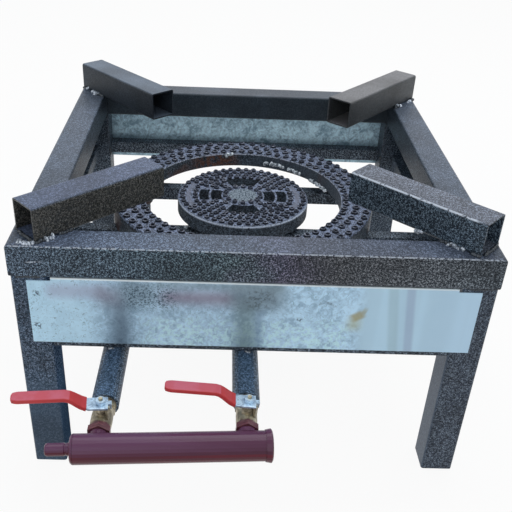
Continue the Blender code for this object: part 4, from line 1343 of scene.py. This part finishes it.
@dataclass
class CastBurners(Assembly):
    """The two cast burners, with their port studs and casting flash.

    Attributes:
        ring_z: Top of the ring burner.
        head_z: Top of the inner burner.
        hub_z: Top of its hub.
        stud_height: Height of a stud.
        stud_foot: Room that a stud needs beside a window.
        hub_clear: Radius inside which the spokes have no studs.
        ring_rows: The ring's studs.
        head_rows: The studs of the inner burner's rim.
        spoke_rows: The studs of its spokes.
        hub_row: The studs round its hub.
        windows: Its windows, each as the middle in degrees, two radii and half the width in degrees.
        flash: Casting flash on the ring's inner wall: its radius, then places as degrees and height.
        head_tacks: Tacks at the inner burner's foot, from the middle of the frame.
    """

    ring_z: float = 0.262
    head_z: float = 0.257
    hub_z: float = 0.258
    stud_height: float = 0.0034
    stud_foot: float = 0.0024
    hub_clear: float = 0.033
    ring_rows: tuple[RingOfStuds, ...] = (RingOfStuds(0.1475, 64), RingOfStuds(0.1625, 64, 2.8),
                                          RingOfStuds(0.1775, 64))
    head_rows: tuple[RingOfStuds, ...] = (RingOfStuds(0.0868, 46), RingOfStuds(0.0785, 42, 4.3, 0.034),
                                          RingOfStuds(0.0690, 38))
    spoke_rows: tuple[RingOfStuds, ...] = (RingOfStuds(0.0605, 34, 3.0), RingOfStuds(0.0520, 28, 6.0),
                                           RingOfStuds(0.0435, 24), RingOfStuds(0.0350, 20, 9.0))
    hub_row: RingOfStuds = RingOfStuds(0.0252, 14, 12.0)
    windows: tuple[tuple[float, float, float, float], ...] = (
        (90.0, 0.032, 0.058, 27.0), (270.0, 0.032, 0.058, 27.0), (0.0, 0.031, 0.0465, 25.0),
        (180.0, 0.031, 0.0465, 25.0), (0.0, 0.0495, 0.063, 19.0), (180.0, 0.0495, 0.063, 19.0))
    flash: tuple[tuple[float, tuple[Spot, ...]], ...] = (
        (0.1405, ((74.5, 0.2495), (67.7, 0.2492), (62.1, 0.2490))),
        (0.1405, ((58.0, 0.248), (55.5, 0.2465), (49.2, 0.2440))),
        (0.1405, ((41.6, 0.2425), (36.0, 0.2420), (33.3, 0.2418), (24.3, 0.2405))),
        (0.1402, ((99.6, 0.2585), (98.0, 0.2605), (96.2, 0.2622))))
    head_tacks: tuple[tuple[Point, ...], ...] = (
        ((-0.0905, -0.0505, 0.2292), (-0.084, -0.046, 0.2292), (-0.0765, -0.0395, 0.2296)),
        ((-0.0790, -0.0440, 0.2300), (-0.0725, -0.0380, 0.2310)))

    def finishes(self) -> Coats:
        """The castings' finishes."""
        return [(CastIron("cast_ring", rust_share=0.6), ["ring_burner"]),
                (CastIron("cast_head", rust_share=0.06, hub=True), ["head_burner"])]

    def on_metal(self, x: float, y: float) -> bool:
        """True if a stud there stands clear of the windows and the hub.

        Args:
            x: Its x from the burner's centre.
            y: Its y from there.

        Returns:
            Whether it does.
        """
        radius, angle = math.hypot(x, y), math.degrees(math.atan2(y, x))
        for middle, low, high, half in self.windows:
            off = abs((angle - middle + 180) % 360 - 180)
            if low - self.stud_foot < radius < high + self.stud_foot and off < half + math.degrees(
                    self.stud_foot / radius):
                return False
        return radius > self.hub_clear

    def build(self) -> None:
        """Stand the port studs on both burners, and lay the casting flash and tacks inside the ring."""

        def at(spots: list[Spot], level: float) -> list[list[Vector]]:
            """A seed for each stud at that level."""
            return [[lift((BURNER_X + x, y, level))] for x, y in spots]

        def row_spots(rows: tuple[RingOfStuds, ...]) -> list[Spot]:
            """The spots of several rows."""
            return [spot for row in rows for spot in row.points()]

        head = row_spots(self.head_rows) + [s for s in row_spots(self.spoke_rows) if self.on_metal(*s)]
        shared = {"height": self.stud_height, "wobble": 0.0005}
        ring_tree = stud_tree("ring_studs", PortStud("stud_iron_ring", self.ring_z, self.stud_height))
        head_tree = stud_tree("head_studs", PortStud("stud_iron_head", self.head_z, self.stud_height))
        ring_seeds = at(row_spots(self.ring_rows), self.ring_z)
        head_seeds = at(head, self.head_z) + at(self.hub_row.points(), self.hub_z)
        ring_tree.lay("ring_port_studs", ring_seeds, Slot.IRON, radius=0.0051, port=0.0029, seed=3, **shared)
        head_tree.lay("head_port_studs", head_seeds, Slot.IRON, radius=0.0041, port=0.0022, seed=5, **shared)
        tree = bead_tree("flash_skin", (0.80, 0.88, 0.96), (0.12, 0.15, 0.19))
        arcs = [[lift((BURNER_X + radius * math.cos(math.radians(a)), radius * math.sin(math.radians(a)), z))
                 for a, z in stops] for radius, stops in self.flash]
        tacks = [[lift(p) for p in run] for run in self.head_tacks]
        tree.lay("ring_flash", arcs, Slot.IRON, width=0.0058, pitch=0.0025, wobble=0.0015, seed=31)
        tree.lay("head_tacks", tacks, Slot.IRON, width=0.0050, pitch=0.0024, wobble=0.0010, seed=37)


@dataclass
class GasTrain(Assembly):
    """Mixing pipes, manifold, valves and levers.

    Attributes:
        spray_reach: How far the maroon overspray comes over a valve's body.
        pipe_x: Where the pipes pass the front lower rail.
    """

    spray_reach: float = 0.0190
    pipe_x: Spot = (-0.166, -0.006)

    def finishes(self) -> Coats:
        """The gas train's finishes; each valve's body has its own overspray.

        Returns:
            The finishes, each with the nodes that wear it.
        """
        sides = ("left", "right")

        def both(*names: str) -> list[str]:
            """The left and the right one of each."""
            return [f"{name}_{side}" for side in sides for name in names]

        bodies = []
        for side in sides:
            low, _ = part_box("valve_body_" + side)
            bodies.append((ValveBrass("brass_body_" + side, low.y + self.spray_reach), ["valve_body_" + side]))
        return [
            (HammerEnamel("enamel_pipes", dark=(0.008, 0.015, 0.026), middle=(0.046, 0.080, 0.126),
                          fleck=(0.46, 0.62, 0.82), top_painted_light=(srgb(68, 92, 120), 0.65)), both("mixing_pipe")),
            (MaroonGloss(), ["manifold_pipe", "hose_nipple", *both("manifold_socket", "manifold_cap")]),
            *bodies,
            (ValveBrass("brass_parts"), both("valve_tail", "valve_stem", "gland_nut", "injector")),
            (ZincPlate(), both("lever", "lever_nut")),
            (RedVinyl(), both("lever_sleeve")),
            (SEAT_PLASTIC, both("valve_seat_front", "valve_seat_rear")),
            (BALL_CHROME, both("valve_ball"))]

    def build(self) -> None:
        """Lay the bright tacks where the pipes pass the front lower rail."""
        tree = bead_tree("tack_skin", (0.60, 0.66, 0.74), (0.070, 0.085, 0.11))
        runs = [[lift((x - 0.002, -0.2742, 0.1868)), lift((x + 0.0025, -0.2745, 0.1866))] for x in self.pipe_x]
        tree.lay("pipe_tacks", runs, Slot.PAINT, width=0.0038, pitch=0.0016, wobble=0.0006, seed=41)


# --- studio ------------------------------------------------------------------------------------------------
@dataclass(frozen=True)
class Lamp:
    """One soft square lamp: its name, place, aim, side, power in watts and colour."""

    name: str
    spot: Point
    aim: Point
    size: float
    power: float
    tint: Colour = (1.0, 1.0, 1.0)

    def hang(self) -> None:
        """Hang the lamp."""
        data = bpy.data.lights.new(self.name, "AREA")
        data.shape = "SQUARE"
        data.size = self.size
        data.energy = self.power
        data.color = self.tint
        lamp = bpy.data.objects.new(self.name, data)
        bpy.context.scene.collection.objects.link(lamp)
        lamp.location = self.spot
        lamp.rotation_euler = (Vector(self.aim) - Vector(self.spot)).to_track_quat("-Z", "Y").to_euler()


@dataclass
class Studio:
    """Pale floor, soft lamps and the camera at the photograph's angle.

    Attributes:
        focal_px: The camera's focal length in the picture's pixels.
        eye: Where it stands, in frame widths from the middle of the frame's top.
        pitch: How far it looks down, in radians.
        yaw: How far it looks to the right.
        roll: How far it is tilted.
        principal: Where its axis meets the picture, in pixels.
        picture: The picture's width in pixels.
        sensor: The camera's sensor in millimetres.
        floor_half: Half the floor's side.
        floor_white: How white the floor is to the eye.
        fill: Strength of the level fill.
        lamps: The lamps.
    """

    focal_px: float = 757.067404
    eye: Point = (-0.080679025, -1.787622314, 0.760012100)
    pitch: float = 0.565313998
    yaw: float = 0.028157931
    roll: float = 0.044133439
    principal: Spot = (234.636489, 276.804931)
    picture: int = 512
    sensor: float = 36.0
    floor_half: float = 6.0
    floor_white: float = 0.92
    fill: float = 0.46
    lamps: tuple[Lamp, ...] = (
        Lamp("sky", (0.3, 0.9, 2.6), (0.0, CENTRE_Y, 0.3), 2.4, 40.0, (0.95, 0.98, 1.0)),
        Lamp("front_fill", (-0.9, -2.6, 1.5), (0.0, CENTRE_Y, 0.2), 1.8, 9.0))

    def camera(self) -> None:
        """Set up the camera."""
        cp, sp = math.cos(self.pitch), math.sin(self.pitch)
        ahead = Vector((math.sin(self.yaw) * cp, math.cos(self.yaw) * cp, -sp))
        right = ahead.cross(Vector((0.0, 0.0, 1.0))).normalized()
        up = right.cross(ahead)
        r = right * math.cos(self.roll) + up * math.sin(self.roll)
        u = -right * math.sin(self.roll) + up * math.cos(self.roll)
        data = bpy.data.cameras.new("camera")
        data.sensor_width = self.sensor
        data.lens = self.focal_px / self.picture * self.sensor
        data.shift_x = (self.picture / 2 - self.principal[0]) / self.picture
        data.shift_y = (self.principal[1] - self.picture / 2) / self.picture
        camera = bpy.data.objects.new("camera", data)
        bpy.context.scene.collection.objects.link(camera)
        x, y, z = (c * FRAME_W for c in self.eye)
        camera.matrix_world = Matrix(((r.x, u.x, -ahead.x, x), (r.y, u.y, -ahead.y, y + CENTRE_Y),
                                      (r.z, u.z, -ahead.z, z + TOP_Z), (0.0, 0.0, 0.0, 1.0)))
        bpy.context.scene.camera = camera

    def floor(self) -> None:
        """Lay the pale floor: white to the eye and in reflections, with the object's shadow kept faintly."""
        mesh = bpy.data.meshes.new("floor")
        s = self.floor_half
        mesh.from_pydata([(-s, -s, 0.0), (s, -s, 0.0), (s, s, 0.0), (-s, s, 0.0)], [], [(0, 1, 2, 3)])
        material = bpy.data.materials.new("floor_white")
        material.use_nodes = True
        tree = material.node_tree
        shader = tree.nodes["Principled BSDF"]
        looks = {"Base Color": (0.90, 0.90, 0.90), "Roughness": 0.9, "Specular IOR Level": 0.1}
        for name, value in looks.items():
            feed(shader.inputs[name], value)
        white = add_node(tree, "ShaderNodeEmission", {"Strength": 1.0}).outputs[0]
        share = add_node(tree, "ShaderNodeMath", {0: self.eye_and_gloss(tree), 1: self.floor_white},
                         operation="MULTIPLY").outputs[0]
        both = add_node(tree, "ShaderNodeMixShader", {0: share, 1: shader.outputs[0], 2: white}).outputs[0]
        feed(tree.nodes["Material Output"].inputs[0], both)
        mesh.materials.append(material)
        floor = bpy.data.objects.new("floor", mesh)
        bpy.context.scene.collection.objects.link(floor)

    @staticmethod
    def eye_and_gloss(tree: bpy.types.NodeTree) -> Socket:
        """1 on rays from the eye, from gloss and through glass, else 0.

        Args:
            tree: The tree it is for.

        Returns:
            The mask.
        """
        rays = add_node(tree, "ShaderNodeLightPath").outputs
        seen = rays["Is Camera Ray"]
        for name in ("Is Glossy Ray", "Is Transmission Ray"):
            seen = add_node(tree, "ShaderNodeMath", {0: seen, 1: rays[name]}, operation="MAXIMUM").outputs[0]
        return seen

    def world(self) -> None:
        """White to the eye and in reflections, and a level fill for the rest."""
        world = bpy.data.worlds.new("studio")
        bpy.context.scene.world = world
        world.use_nodes = True
        tree = world.node_tree
        tree.nodes.clear()
        fill = add_node(tree, "ShaderNodeBackground", {0: (0.93, 0.97, 1.0), 1: self.fill}).outputs[0]
        white = add_node(tree, "ShaderNodeBackground", {0: (1.0, 1.0, 1.0), 1: 1.0}).outputs[0]
        both = add_node(tree, "ShaderNodeMixShader", {0: self.eye_and_gloss(tree), 1: fill, 2: white})
        add_node(tree, "ShaderNodeOutputWorld", {0: both.outputs[0]})

    def build(self) -> None:
        """Put the studio together."""
        self.camera()
        self.floor()
        self.world()
        for lamp in self.lamps:
            lamp.hang()
        bpy.context.scene.view_settings.view_transform = "Standard"


def main() -> None:
    """Build the looks in order."""
    logging.basicConfig(level=logging.INFO, format="%(name)s: %(message)s")
    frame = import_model()
    Studio().build()
    assemblies = (BoxTubeFrame(), WindSheets(), CastBurners(), GasTrain())
    for assembly in assemblies:
        assembly.dress(frame["nodes"])
    for assembly in assemblies:
        assembly.build()


if __name__ == "__main__":
    main()
